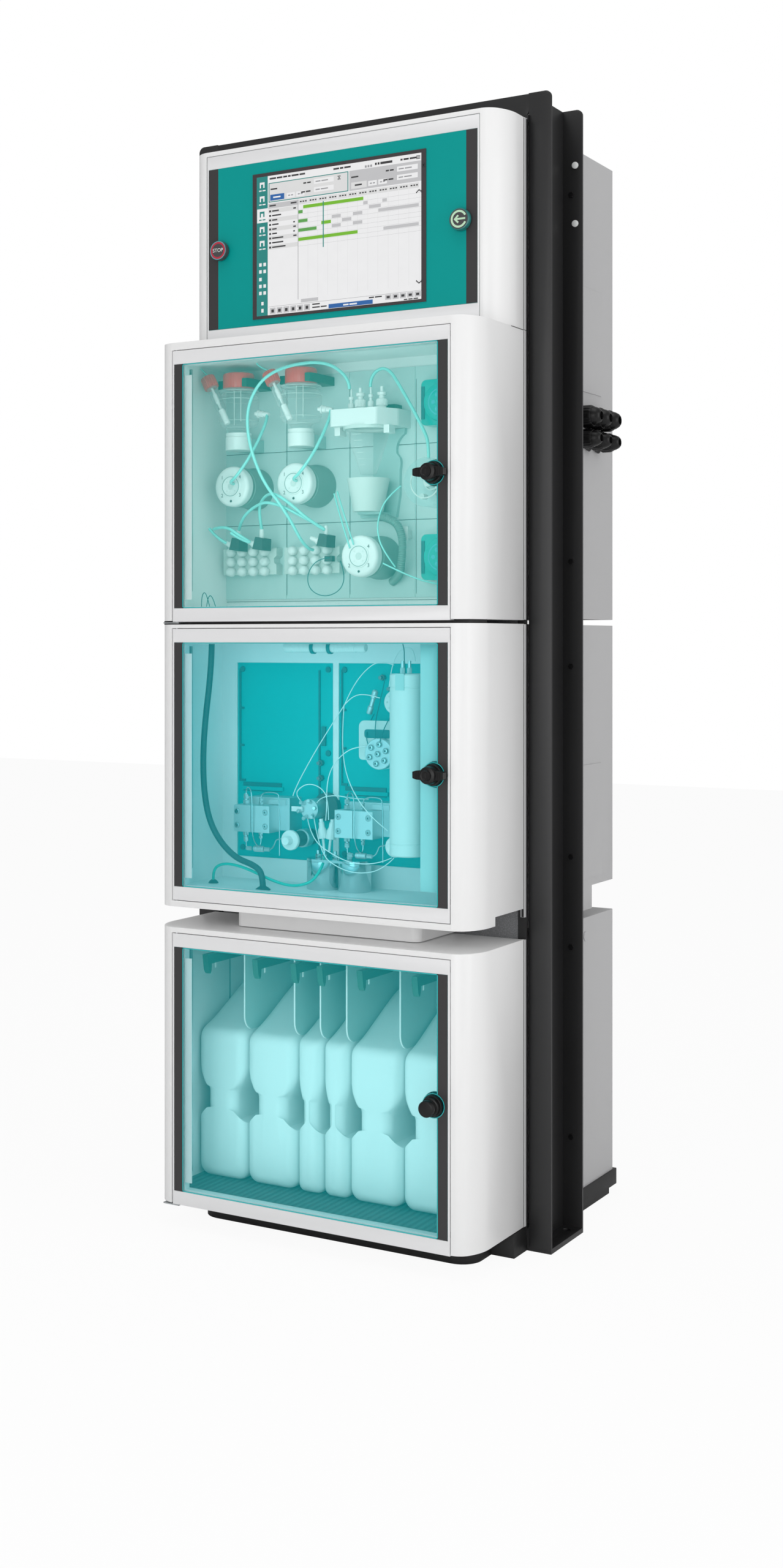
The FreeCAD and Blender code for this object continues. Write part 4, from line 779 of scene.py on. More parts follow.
def key(name, bands, radius, x, side):
    """Turned key; bands are (outer radius, finish) from the middle out."""
    face, back = limits(name)[2:4]
    deep = back - face
    made = Work()
    inner = 0.0
    for outer, finish in bands:
        made.use(finish).turn([(inner, 0), (outer, 0)], (x, face, KEY_Z), INWARD, 64)
        inner = outer
    made.use(side).turn([(inner, 0), (radius - 0.4, 0.2), (radius, 0.8), (radius, 9), (6, 9), (6, deep),
                         (0, deep)], (x, face, KEY_Z), INWARD, 64)
    return made, face


stop, stop_face = key("stop_button", ((11.0, key_dark), (14.2, ring_red), (15.3, ring_blue)), 16.0, -KEY_X,
                      key_dark)
stop.make("stop_key", "stop_red", ("stop_button",), "stop_button")
mark("stop_letters", "STOP", -KEY_X, stop_face - 0.15, KEY_Z, LETTER_HEIGHT, polymer_white, "stop_button")
enter, enter_face = key("enter_button", ((15.2, key_dark), (16.0, key_teal)), 17.0, KEY_X, key_teal)
raised = (enter_face - 0.3, enter_face + 0.2)
enter.use(ring_green)
enter.slab(arc(KEY_X, KEY_Z, 13.6, 25, 335, 40) + arc(KEY_X, KEY_Z, 10.4, 335, 25, 40), "y", *raised)
enter.box(216.0, 233.0, *raised, KEY_Z - 1.4, KEY_Z + 1.4)
for lean in (1, -1):
    enter.slab([(213.4, KEY_Z), (220.0, KEY_Z + 6.6 * lean), (222.2, KEY_Z + 4.6 * lean), (217.4, KEY_Z)],
               "y", enter_face - 0.34, enter_face + 0.2)
enter.make("enter_key", "enter_teal", ("enter_button",), "enter_button")

sheet_face, _, sheet_base, sheet_top = limits("hmi_front_sheet")[2:]
borders = Work(strip_dark)
borders.mirrored(229.0, 247.9, sheet_face - 0.12, sheet_face + 0.1, sheet_base + 0.1, sheet_top - 0.1)
borders.make("panel_borders", "display_bezel")
print("keys at z", round(KEY_Z, 1))

# %% [markdown]
# ## Doors
# Each door is a white frame round a tinted pane. The pane's cut edge gathers light and shows as a bright
# line, and it is printed dark on both sides. The lock sits in the right border, so the border is cut round
# it.
# %% Pane borders, bright edges and buffers
DOORS = ("prep", "ic", "reagent")
BORDER_IN, BORDER_OUT, EDGE_IN = 231.4, 247.4, 229.8


def door_trim(name):
    face, _, base, top = limits(name + "_window")[2:]
    z0, z1 = base + 0.2, top - 0.2
    left, right, _, _, low, high = limits(name + "_lock_rose")
    x, z = (left + right) / 2, (low + high) / 2
    radius = (right - left) / 2 - 2.2
    trim = Work(strip_dark)
    trim.box(-BORDER_OUT, -BORDER_IN, face - 0.15, face + 0.1, z0, z1)
    lean = math.degrees(math.acos((BORDER_IN - x) / radius))
    notch = arc(x, z, radius, -lean, lean, 16)
    trim.slab([(BORDER_IN, z0), (BORDER_OUT, z0), (BORDER_OUT, z1), (BORDER_IN, z1)] + notch[::-1], "y",
              face - 0.15, face + 0.1)
    # Painted highlight: bright strips along the pane's edges and round the lock cut-out.
    trim.use(pane_edge_highlight)
    for a, b, low_z, high_z in ((-BORDER_IN, BORDER_IN, z1 - 1.5, z1), (-BORDER_IN, BORDER_IN, z0, z0 + 1.5),
                                (-BORDER_IN, -EDGE_IN, z0, z1), (EDGE_IN, BORDER_IN, z0, z - radius),
                                (EDGE_IN, BORDER_IN, z + radius, z1)):
        trim.box(a, b, face - 0.2, face + 0.1, low_z, high_z)
    ring = arc(x, z, radius + 0.9, 0, 360, 64)
    hole = arc(x, z, radius - 0.3, 0, 360, 64)
    for i in range(64):
        trim.slab([ring[i], ring[i + 1], hole[i + 1], hole[i]], "y", face - 0.25, face + 0.1)
    trim.use(moulded_black)
    edge, _, _, frame_base, frame_top = limits(name + "_door_frame")[1:]
    for level in (frame_base + 32, frame_top - 14):
        trim.box(edge - 1.6, edge + 0.9, face + 2, face + 12, level - 4.5, level + 4.5, 0.5)
    return trim.make(name + "_door_trim", "tinted_pane", (), name + "_door")


for name in DOORS:
    door_trim(name)

# %% [markdown]
# A wing handle is moulded in one piece: two flat wings on a hub, with a key barrel in the middle. Turned and
# boxed forms give the hub and the wings, and a black slot of painted shade is all that a key hole needs at
# this size. The reagent door has a plain round knob in its place.
# %% Lock handles
# Painted shade: pure black for the shade inside a key hole.
keyhole_shade = coat("keyhole_shade", "000000", 0.6)


def lock_handle(name):
    front, back = limits(name + "_lock_handle")[2:4]
    left, right, rose_face, _, low, high = limits(name + "_lock_rose")
    x, z, seat = (left + right) / 2, (low + high) / 2, rose_face - 0.3
    made = Work(moulded_black)
    if name == "reagent":
        made.turn([(0, front), (9.2, front), (11.4, front + 0.6), (12.4, front + 2), (12.4, seat - 12.4),
                   (11.0, seat - 12), (11.0, seat - 10.8), (12.4, seat - 10.4), (12.4, seat - 8.8),
                   (11.0, seat - 8.4), (11.0, seat - 7), (14.2, seat - 6), (14.4, seat - 0.6), (13.8, seat),
                   (0, seat)], (x, 0, z), INWARD, 48)
    else:
        made.turn([(0, front + 1.2), (5.4, front + 1.2), (6.2, front + 0.3), (7.6, front), (8.0, front + 0.8),
                   (8.2, front + 4), (12.4, front + 5), (13.2, front + 6.4), (13.8, seat - 1), (13.2, seat),
                   (0, seat)], (x, 0, z), INWARD, 48)
        for side in (-1, 1):
            half = [(9, 7.4), (20, 6.6), (25.4, 4.8)]
            wing = ([(x + side * a, z - b) for a, b in half] + [(x + side * 25.5, z + 4.8)]
                    + [(x + side * a, z + b) for a, b in half[1::-1]])
            made.slab(wing, "y", seat - 13, seat - 2, 1.6, 3)
            for k in range(3):
                a = x + side * (13 + k * 3.4)
                made.box(a - 0.7, a + 0.7, seat - 13.5, seat - 12.6, z - 5.4, z + 5.4, 0.3)
        # Painted shade: the key hole is a black slot on the face of the handle.
        made.use(keyhole_shade).box(x - 0.9, x + 0.9, front + 1.0, front + 1.4, z - 3.6, z + 3.6)
    made.use(moulded_black).turn(rod(8, seat, back - 3.5), (x, 0, z), INWARD, 32)
    made.box(x - 6, x + 27, back - 3.4, back, z - 6, z + 6, 0.5)
    return made.make(name + "_handle", "lock_black", (name + "_lock_handle",), name + "_lock")


for name in DOORS:
    lock_handle(name)
print("locks made for", DOORS)

# %% [markdown]
# ## Preparation space: vessels
# The two reaction vessels are blown glass: a body with a flat shoulder, a flange under the red cap, and a
# side arm that leans out at 27 degrees. Blown glass is round about an axis, so everything here is turned, the
# arms about their own leaning axis. A real wall has an inner and an outer face. Here each wall is one clear
# face, because a look through the pane and a vessel crosses many faces, and each one that is spared keeps the
# glass light. The thin pale rims at the bends of the glass and two thin pale rods for the inner tube are
# painted highlights: they stand for the bright lines that the glass shows there.
# %% Reaction vessels, caps and side arms
VESSELS = (-204.4, -82.8)
VESSEL_Y, VESSEL_BASE = -149.5, 1308.0
ARM_ANGLE = math.radians(27)
LEAN = Vector((-math.sin(ARM_ANGLE), 0, math.cos(ARM_ANGLE)))


def arm_root(x):
    return Vector((x - 4, VESSEL_Y - 25.2, VESSEL_BASE + 3))


glass = Work(vessel_glass)
for x in VESSELS:
    glass.turn([(0, -7.8), (17, -7.8), (17, -3), (20, 0.5), (30, 4), (34, 11), (34.4, 48), (32, 54), (27, 57),
                (25.5, 59), (33, 60), (33.4, 63), (31, 64.6), (22, 65), (21, 66), (0, 66)],
               (x, VESSEL_Y, VESSEL_BASE), UP, 72)
    glass.turn([(0, 30), (8.6, 30), (8.8, 31), (8.8, 71.8), (0, 71.8)], arm_root(x), LEAN, 32)
glass.make("reaction_glass", "vessel_glass", ("reaction_vessels",))

closures = Work(cap_red)
for x in VESSELS:
    foot = (x, VESSEL_Y, VESSEL_BASE)
    closures.use(cap_red).turn([(0, 66.5), (26.2, 66.5), (26.6, 67.5), (26.6, 87), (25.4, 90.4), (22, 92),
                                (0, 92)], foot, UP, 96, 32, -0.02)
    closures.turn([(0, 72.2), (12.2, 72.2), (12.4, 73), (12.4, 91), (11.4, 92.8), (0, 92.8)], arm_root(x),
                  LEAN, 72, 18, -0.09)
    closures.use(polymer_white)
    closures.turn([(0, -37), (21.4, -37), (22, -36.4), (22, -15.4), (21.4, -14.8), (20.6, -14.6),
                   (20.6, -12.4), (21.6, -12.2), (21.6, -8.4), (0, -8)], foot, UP, 64)
    # Painted highlights: pale rims at the bends of the glass, and two pale rods for the bright walls of the
    # inner tube.
    closures.use(polymer_pale)
    for rim, level in ((33.2, 61), (27.2, 57.6), (34, 47), (33.6, 11), (19.4, 0.6)):
        closures.turn(band(rim, rim + 0.6, level, level + 0.6), foot, UP, 72)
    for dx, reach in ((-9, 6), (4, 12)):
        closures.turn(rod(0.9, reach, 64), (x + dx, VESSEL_Y, VESSEL_BASE), UP, 16)
    closures.use(polymer_white)
    closures.turn([(0, 3), (4.4, 3), (5.2, 4), (5.2, 30), (4.2, 31), (2.6, 32), (2.6, 42), (4, 43), (4, 60),
                   (2.4, 61), (2.4, 72), (0, 72)], arm_root(x), LEAN, 24)
closures.make("vessel_caps", "cap_red", ("vessel_closures",))

# %% [markdown]
# The clamps that hold the vessels, the stand of the titration vessel and its cup are one solid group in the
# model, because nothing between them moves. Here they are told apart: dark clamps, a white slab with its
# plugs, a shaded column and a pale cup. The small plugs are ribbed, and a turned form with flutes gives that.
# %% Clamps, slab, plugs, column and cup
WALL = -95.5
STAND, STAND_Y = 38.8, -141.5
SLAB_LOW, SLAB_HIGH = 1297, 1324
CUP_BASE, CONE_BASE = 1161, 1221
clamps = Work(holder_dark)
for x in VESSELS:
    z = VESSEL_BASE + 67
    near = arc(x, VESSEL_Y, 27.2, 193, 128, 8)
    far = arc(x, VESSEL_Y, 27.2, -46, 118, 14)
    clamps.use(holder_dark)
    clamps.slab([(x - 37, VESSEL_Y - 6), *near, (x - 12, WALL), (x - 24, WALL), (x - 37, VESSEL_Y + 16)],
                "z", z, z + 14, 1.2)
    clamps.slab([*far, (x - 6, WALL), (x + 32, WALL), (x + 32, VESSEL_Y - 6), (x + 28, VESSEL_Y - 20)],
                "z", z, z + 14, 1.2)
    # A holder arm runs from each insert back to the wall; its grey divider finish is painted shade for the
    # shaded far side of the insert.
    clamps.use(divider_skin)
    clamps.box(x - 16, x + 16, VESSEL_Y + 6, WALL, VESSEL_BASE - 36, VESSEL_BASE - 16, 2)
clamps.make("vessel_clamps", "drive_dark")

stand = Work(polymer_white)
slab_line = ([(STAND - 52.8, WALL)] + arc(STAND - 44.8, -170.5, 8, 180, 270, 6)
             + arc(STAND + 29, -170.5, 8, 270, 330, 5) + arc(STAND + 39, -134, 14, -40, 0, 5)
             + [(STAND + 53, WALL)])
stand.slab(slab_line, "z", SLAB_LOW, SLAB_HIGH, 2.2, 3)
for dx, r, h, teeth in ((-10, 9.5, 15, 24), (29, 9.5, 14, 24), (-27, 5.5, 10, 12), (9, 5, 12, 12)):
    origin = (STAND + dx, VESSEL_Y, SLAB_HIGH)
    stand.turn([(0, 0), (r * 0.8, 0), (r * 0.8, 4), (r, 5), (r, h), (r * 0.86, h + 1.6), (0, h + 1.6)],
               origin, UP, 72, teeth, -0.08)
    stand.turn([(0, h + 1), (r * 0.5, h + 1), (r * 0.5, h + 7), (r * 0.8, h + 7.6), (r * 0.8, h + 12),
                (r * 0.3, h + 13), (r * 0.3, 35.6), (0, 36)], origin, UP, 36, 10, -0.05)
stand.use(polymer_pale)
stand.turn([(37.6, -5), (41, -5), (41, 0), (34, 0), (34, -1), (37.6, -5)], (STAND, STAND_Y, SLAB_LOW), UP, 64)
stand.use(polymer_white)
for dx in (-47, 43):
    stand.box(STAND + dx - 5, STAND + dx + 5, -160, -140, 1284, 1296.9, 1.5)
stand.use(holder_dark).box(STAND + 22, STAND + 42, -128, -106, SLAB_HIGH, SLAB_HIGH + 9, 2)
stand.make("titration_head", "holder_white")

# Painted shade: the column takes the grey divider finish, darker than the white stand in front of it.
column = Work(divider_skin)
column.slab(arc(STAND + 60, 1262, 30, 120, 190, 8) + arc(STAND + 10, 1240, 28, 20, -20, 6)
            + [(STAND + 36, 1190), (STAND + 30, 1154), (STAND - 36, 1154), (STAND - 38, 1200),
               (STAND - 12, 1214), (STAND - 12, 1296.5), (STAND + 46, 1296.5)], "y", -103.4, WALL, 1.0)
column.box(STAND - 20, STAND + 20, -141, -103, 1157, 1160.9, 0.8)
column.make("titration_column", "holder_white")

cup = Work(polymer_pale)
cup.turn([(0, 0), (23.5, 0), (24.5, 1.4), (34, 50), (35, 53), (33.2, 53), (32.2, 50), (22.6, 3), (0, 3)],
         (STAND, STAND_Y, CUP_BASE), UP, 64)
cup.make("draining_cup", "holder_white", ("vessel_holders",))

FOOT_R, MOUTH_R, CONE_TALL = 13, 37.5, 76
cone = Work(vessel_glass)
cone.turn([(0, 0), (12, 0), (FOOT_R, 1.4), (20, 22), (37, 74), (MOUTH_R, CONE_TALL), (0, CONE_TALL)],
          (STAND, STAND_Y, CONE_BASE), UP, 72)
cone.use(polymer_pale)
for i in range(6):
    h = 14 + i * 9.5
    r = FOOT_R + (MOUTH_R - FOOT_R) * h / CONE_TALL + 0.15
    near, far = (arc(STAND, STAND_Y, reach, 250, 280, 5) for reach in (r, r + 0.3))
    for k in range(5):
        cone.slab([near[k], near[k + 1], far[k + 1], far[k]], "z", CONE_BASE + h, CONE_BASE + h + 0.7)
cone.make("titration_cone", "vessel_glass", ("titration_vessel",))
print("stand at x", STAND)

# %% [markdown]
# The wet panel is made of smaller plates, and the housings are folded from parts as well. Their joints are
# thin dark lines, so a thin bar that hardly stands out is enough to draw one. Rubber seals close the slots
# beside the back plate. A black block closes the slot between two housings, and its black is painted shadow
# for the shade in that slot. A grey edging ends each housing at the back, and pale caps close spare holes. A
# strip behind each pane covers the hinge side of the door.
# %% Panel joints and seals
HOUSINGS = ("hmi", "prep", "ic", "reagent")
JOINT = 0.4
left, right, _, _, panel_base, panel_top = limits("wet_panel")
joints = Work(dark_detail)
for x in (-142.8, -21.0, 101.4):
    joints.box(x - JOINT, x + JOINT, WALL - 0.15, WALL + 0.1, panel_base + 6, panel_top - 20)
for z in (1271.0, 1149.0, 1020.0):
    joints.box(left + 1, right - 1, WALL - 0.15, WALL + 0.1, z - JOINT, z + JOINT)
joints.make("panel_joints", "drive_dark")

plate_left, plate_right, plate_front, _, plate_base, plate_top = limits("back_plate")
seals_and_slot_shade = Work(plinth_black)
for a, b in ((limits("left_upright")[1], plate_left + 4), (plate_right - 4, limits("right_upright")[0])):
    seals_and_slot_shade.box(a, b, plate_front - 3, plate_front, plate_base, plate_top, 0.6)
    print("seal from x %.1f to %.1f at y %.1f" % (a, b, plate_front))
slot_low, slot_high = limits("ic_housing")[5], limits("prep_housing")[4]
left, right, front = limits("prep_housing")[:3]
print("slot between the housings: %.1f to %.1f mm" % (slot_low, slot_high))
# Painted shadow: the black block in the slot between the housings stands for the slot's shade.
if slot_high > slot_low:
    seals_and_slot_shade.box(left + 12, right - 12, front + 14, front + 74, slot_low, slot_high)
seals_and_slot_shade.mirrored(270, 292.5, -84.5, -80.5, 1764, 1776)
seals_and_slot_shade.mirrored(288.6, 289.4, -140, -86, 1437.5, 1438.5)
edging = Work(cabinet_grey)
for name in HOUSINGS:
    _, _, _, back, base, top = limits(name + "_housing")
    seals_and_slot_shade.mirrored(286, 289.4, back - 9.6, back - 8.6, base + 1, top - 1)
    edging.mirrored(284, 290.9, back - 8.6, back + 1, base + 0.5, top - 0.5, 0.4)
seals_and_slot_shade.make("back_seals_and_slot_shade", "black_frame")
edging.make("housing_edging", "cabinet_grey")

x0, x1, front, _, z0, z1 = limits("hmi_frame")
lines = Work(dark_detail)
for a, b, c, d in ((x0, x1, z0 - 0.5, z0), (x0, x1, z1, z1 + 0.5), (x0 - 0.5, x0, z0, z1),
                   (x1, x1 + 0.5, z0, z1)):
    lines.box(a, b, front - 0.1, front + 1, c, d)
lines.make("operator_frame_lines", "display_bezel")
print("operator frame %.0f x %.0f mm, face at y %.1f" % (x1 - x0, z1 - z0, front))

caps = Work(polymer_white)
for x in (-318, 318):
    for z in (1720.7, 1626.8):
        caps.turn([(0, 0), (4.6, 0), (5.4, 0.6), (5.4, 2.6), (0, 2.6)], (x, 40.2, z), INWARD, 32)
caps.make("blank_caps", "white_paint")

for name in DOORS:
    _, back, base, top = limits(name + "_window")[2:]
    strip = Work(door_white)
    strip.box(-230.8, -217.5, back, back + 1.4, base + 14, top - 18, 0.3)
    strip.make(name + "_inner_strip", "door_white", (), name + "_door")

# %% [markdown]
# ## Dosing heads, pumps and cell
# Each dosing drive is a drum on the wall, with a white head that has a raised centre, four port numbers and a
# dot. Two tubing pumps are bright moulded boxes with a rotor cover. The flow cell is a clear drum.
# %% Dosing heads and drives
DOSING = ((VESSELS[0], 1210.0), (VESSELS[1], 1210.0), (STAND, 1088.5))
HEAD_FACE, FIGURE_FACE, FIGURE_HEIGHT = -174.5, -173.2, 8.5
heads = Work(polymer_white)
drives = Work(drive_green)
for x, z in DOSING:
    heads.use(polymer_white)
    heads.turn([(0, 0.6), (15.4, 0.6), (16, 0.2), (17.2, 0), (18.4, 0.4), (18.8, 1.4), (27, 1.4), (30.4, 2),
                (32.8, 4.4), (33.5, 7), (33.5, 17.4), (32.6, 18), (0, 18)], (x, HEAD_FACE, z), INWARD, 80)
    # Painted shade: a dark ring round the centre of the head stands for the shade in its groove.
    heads.use(drive_green).turn(band(15.7, 16.5, -0.15, 0.5), (x, HEAD_FACE, z), INWARD, 64)
    heads.use(polymer_pale)
    heads.turn([(0, -0.1), (5, -0.1), (5.6, 0.6), (5.6, 1.4), (0, 1.4)], (x, HEAD_FACE + 0.1, z), INWARD, 40)
    for a, b in arc(x, z, 11, 45, 315, 3):
        heads.turn([(0, 0), (1.1, 0), (1.1, 1)], (a, HEAD_FACE + 0.3, b), INWARD, 16)
    heads.use(dark_detail)
    heads.turn([(0, 0), (2.1, 0), (2.1, 1.2)], (x, HEAD_FACE + 1.1, z - 24.4), INWARD, 24)
    drives.turn([(0, 0), (33, 0), (33, 3), (31.4, 4), (31.4, 8), (33, 9), (33, 46), (35.4, 50), (35.4, 61),
                 (0, 61)], (x, -156.5, z), INWARD, 64)
heads.make("dosing_faces", "holder_white", ("dosing_heads",))
drives.make("dosing_drums", "drive_dark", ("dosing_drives",))
for x, z in DOSING:
    for figure, dx, dz in (("1", -17.5, 15), ("4", 17.5, 15), ("2", -17.5, -15), ("3", 17.5, -15)):
        mark("figure_%s_%d_%d" % (figure, x + 300, z), figure, x + dx, FIGURE_FACE, z + dz, FIGURE_HEIGHT,
             dark_detail, "frame")

# %% Tubing pumps and flow cell
ROW, PUMP_HALF, PUMP_FACE = 160.4, 36.4, -126.4
pumps = Work(pump_teal)
for z in (1086.5, 1332.0):
    x, half = ROW, PUMP_HALF
    pumps.use(pump_teal)
    pumps.slab(soft_outline(x - half, x + half, z - half, z + half, 9), "y", -122, WALL, 1.5, 3)
    pumps.turn([(0, 0), (27, 0), (30, 1), (31, 3.4), (31, 5)], (x, PUMP_FACE, z), INWARD, 64)
    pumps.use(ring_blue).turn(band(20, 22, -0.1, 0.6), (x, PUMP_FACE, z), INWARD, 64)
    for a, b in arc(x, z, 13, 0, 300, 5):
        pumps.turn([(0, -0.1), (3.4, -0.1), (3.4, 0.6)], (a, PUMP_FACE, b), INWARD, 24)
    pumps.use(module_dark).box(x - 36, x - 30, -123.2, -121.6, z - 26, z + 26, 0.5)
pumps.make("tubing_pumps", "pump_teal", ("peristaltic_pumps",))

CELL_Y, CELL_Z = -179.5, 1201
drum = (ROW, CELL_Y, CELL_Z)
cell = Work(cell_clear)
cell.turn([(0, 0), (35, 0), (38, 1.4), (38.5, 4), (38.5, 46), (37, 48), (29, 48.4), (28.5, 50), (28.5, 84),
           (0, 84)], drum, INWARD, 72)
cell.use(polymer_pale).turn(band(24, 26, -0.4, 0.4), (ROW, CELL_Y + 0.4, CELL_Z), INWARD, 64)
cell.turn(rod(7, 8, 30), drum, INWARD, 32)
cell.turn(band(10, 12, 20, 26), drum, INWARD, 32)
for dx, dz in ((-14, 18), (16, 20), (20, -8), (-8, -22)):
    cell.turn(rod(4.6, 4, 18), (ROW + dx, CELL_Y, CELL_Z + dz), INWARD, 24)
cell.make("flow_drum", "vessel_glass", ("flow_cell",))

# %% [markdown]
# ## Manifolds and hoses
# Hoses bend in one smooth sweep from fitting to fitting. A curve that the few points of the solid's route
# guide, with a round section, gives that sweep, so each hose lies where its solid lies.
# %% Manifolds, pegs and elbows
MANIFOLDS = (-257.4, -135.8)
blocks = Work(polymer_pale)
for x0 in MANIFOLDS:
    line = ([(x0, 1065), (x0 + 98, 1065), (x0 + 106, 1065)] + arc(x0 + 106, 1087, 5, -90, -180, 4)
            + [(x0 + 101, 1092), (x0 + 106, 1096), (x0 + 106, 1109), (x0, 1109)])
    blocks.slab(line, "y", -115.5, WALL, 0.8)
blocks.make("manifolds", "holder_white", ("manifold_blocks",))

pegs = Work(polymer_white)
for x0 in MANIFOLDS:
    for row in range(3):
        for k in range(4):
            x = x0 + 53 + (k - 1.5) * 22.2
            pegs.use(polymer_white)
            pegs.turn([(0, 0), (3, 0.2), (6, 1.6), (7.6, 4.6), (7.9, 7.6), (7.9, 11), (6.4, 12), (6.4, 14.5),
                       (0, 14.5)], (x, -130, 1070 + row * 16.5), INWARD, 28)
for x, z in ((-208.4, 1115), (-162.4, 1115), (-38.8, 1117)):
    pegs.use(dark_detail)
    pegs.slab([(x - 10, z - 9), (x + 9, z - 12), (x + 10, z + 8), (x - 4, z + 11)], "y", -158, -130, 1.5, 3)
    pegs.use(polymer_white)
    pegs.turn([(0, 0), (5.4, 0), (5.4, 5), (4, 6), (4, 12), (3.4, 17), (0, 17)], (x - 9, -150, z - 2),
              (-0.8, 0, 0.35), 24)
    pegs.turn([(0, 0), (4, 0), (4, 12), (3.2, 18), (0, 18)], (x, -144, z + 6), UP, 24)
pegs.use(dark_detail).box(-44, -30, -140, -130, 1083, 1092, 1.5)
pegs.use(polymer_white)
SPOUT = (1, 0, -0.12)
for x in VESSELS:
    pegs.turn([(0, 0), (5.8, 0), (5.8, 7), (4.6, 8), (4.6, 14), (3.4, 16), (3.4, 18), (0, 18)],
              (x + 42, VESSEL_Y, 1330), SPOUT, 24)
    pegs.turn([(0, 0), (3.6, 0), (3.6, 6), (7, 6), (7, 9), (0, 9)], (x + 33, VESSEL_Y, 1331), SPOUT, 24)
pegs.make("manifold_pegs", "holder_white", ("manifold_fittings",))

# %% Hoses of the preparation space
long_hose = [(12.8, -157.5, 1358), (12.8, -157.5, 1378), (-17.2, -193.5, 1404), (-109.8, -204.5, 1392),
             (-149.8, -206.5, 1345), (-151.8, -205.5, 1285), (-127.8, -199.5, 1215), (-89.8, -183.5, 1162),
             (-71.7, -154, 1103), (-71.7, -130, 1103)]
vessel_hoses = [[(x + 52, -149.5, 1330), (x + 62, -149.5, 1330), (x + 52, -185.5, 1264),
                 (x + 26, -195.5, 1224), (x + 6, -188.5, 1214), (x + 6, -174.5, 1214)] for x in VESSELS]
cell_hose = [(46.8, -149.5, 1360), (46.8, -149.5, 1380), (72.8, -141.5, 1394), (100.8, -141.5, 1352),
             (142.8, -143.5, 1282), (152.4, -151.5, 1261.5), (152.4, -151.5, 1239.5)]
pipe("clear_hoses", [long_hose, *vessel_hoses, cell_hose], 2.6, hose_light, ("prep_tubing",))
pipe("branch_hoses", [
    [(-208, -144, 1138), (-193, -160, 1155), (-166, -167, 1174), (-121, -187, 1183), (-66, -168, 1155),
     (-40, -150, 1136)],
    [(-162, -144, 1138), (-160, -160, 1171), (-143, -167, 1192), (-111, -188, 1195), (-83, -182, 1176),
     (-58, -168, 1150), (-39, -148, 1134)],
    [(-249, -172, 1142), (-238, -165, 1125), (-224, -157, 1117)],
    [(-204, -175, 1133), (-190, -168, 1122), (-178, -157, 1117)],
    [(-240, -172, 1140), (-214, -178, 1146), (-186, -170, 1126), (-178, -156, 1118)],
], 2.6, hose_light)
pipe("feed_hoses", [
    [(-262, -176, 1409), (-254, -176, 1400), (-243, -174.7, 1393)],
    [(-152, -176, 1410), (-146, -176, 1402), (-122, -174.7, 1393)],
    [(102, -150, 1199), (82, -160, 1181), (73, -170, 1151), (76, -180, 1124), (89, -185, 1096),
     (103, -170, 1070)],
    [(84, -175, 1076), (129, -170, 1054), (169, -150, 1041), (190, -120, 1040)],
    [(-14, -150, 1195), (9, -165, 1150), (32, -178, 1107)],
    [(-20, -150, 1192), (-2, -160, 1150), (24, -176, 1102)],
], 1.3, hose_light)
pipe("dark_wires", [
    [(-34, -140, 1089), (-58, -140, 1088), (-78, -140, 1062), (-72, -140, 1036), (-41, -142, 1024),
     (-12, -140, 1036), (-6, -138, 1062), (-20, -130, 1084)],
    [(-242, -205, 1004.5), (-242, -205, 1030), (-232, -205, 1036), (-224, -205, 1004.5)],
    [(-232, -205, 1004.5), (-230, -205, 1026), (-220, -205, 1030), (-212, -205, 1004.5)],
], 0.7, module_dark)

# %% [markdown]
# The transfer hose is ribbed. A ribbed hose is a plain tube whose radius rises and falls along its way, so
# the middle line is read from a smooth curve, and a ring is set at each of its points, wide and narrow in
# turn.
# %% Ribbed hose
def middle_line(route, count):
    """Points evenly spread on the smooth curve of a route."""
    curve = bpy.data.curves.new("line", "CURVE")
    curve.dimensions = "3D"
    curve.resolution_u = 24
    lay(curve, route, 1)
    holder = bpy.data.objects.new("line", curve)
    mesh = bpy.data.meshes.new_from_object(holder)
    raw = [v.co.copy() for v in mesh.vertices]
    bpy.data.objects.remove(holder)
    lengths = [0.0]
    for a, b in zip(raw, raw[1:]):
        lengths.append(lengths[-1] + (b - a).length)
    points = []
    k = 0
    for i in range(count):
        want = lengths[-1] * i / (count - 1)
        while k < len(raw) - 2 and lengths[k + 1] < want:
            k += 1
        span = lengths[k + 1] - lengths[k]
        points.append(raw[k].lerp(raw[k + 1], (want - lengths[k]) / span if span else 0))
    return points, lengths[-1]


def ribbed(work, route, low, high, pitch, sides=16):
    _, length = middle_line(route, 2)
    count = int(length / pitch) * 2
    points, _ = middle_line(route, count)
    rings = []
    side = None
    for i, spot in enumerate(points):
        ahead = (points[min(i + 1, count - 1)] - points[max(i - 1, 0)]).normalized()
        side = (ahead.orthogonal() if side is None else side - ahead * side.dot(ahead)).normalized()
        other = ahead.cross(side)
        r = high if i % 2 else low
        rings.append([work.mesh.verts.new(spot + (side * math.cos(t) + other * math.sin(t)) * r)
                      for t in [2 * math.pi * k / sides for k in range(sides)]])
    faces = [work.mesh.faces.new((a[k], a[(k + 1) % sides], b[(k + 1) % sides], b[k]))
             for a, b in zip(rings, rings[1:]) for k in range(sides)]
    faces += [work.mesh.faces.new(rings[0]), work.mesh.faces.new(rings[-1])]
    work.keep(faces)
    return length


transfer = Work(drive_green)
length = ribbed(transfer, [(54, -130, 1154), (80, -132, 1148), (93, -132, 1129), (96, -131, 1105),
                           (92, -130, 1073), (78, -110, 1058), (60, -100, 1049)], 5.6, 6.8, 3.0)
transfer.use(polymer_white).box(86, 98, -119, -116, 1114, 1137, 1)
transfer.turn([(0, 0), (1.6, 0), (1.6, 1)], (92, -120, 1131), INWARD, 16)
transfer.box(90, 94, -117, WALL, 1118, 1132, 0.5)
transfer.make("transfer_hose", "hose_dark")
print("transfer hose", round(length), "mm")

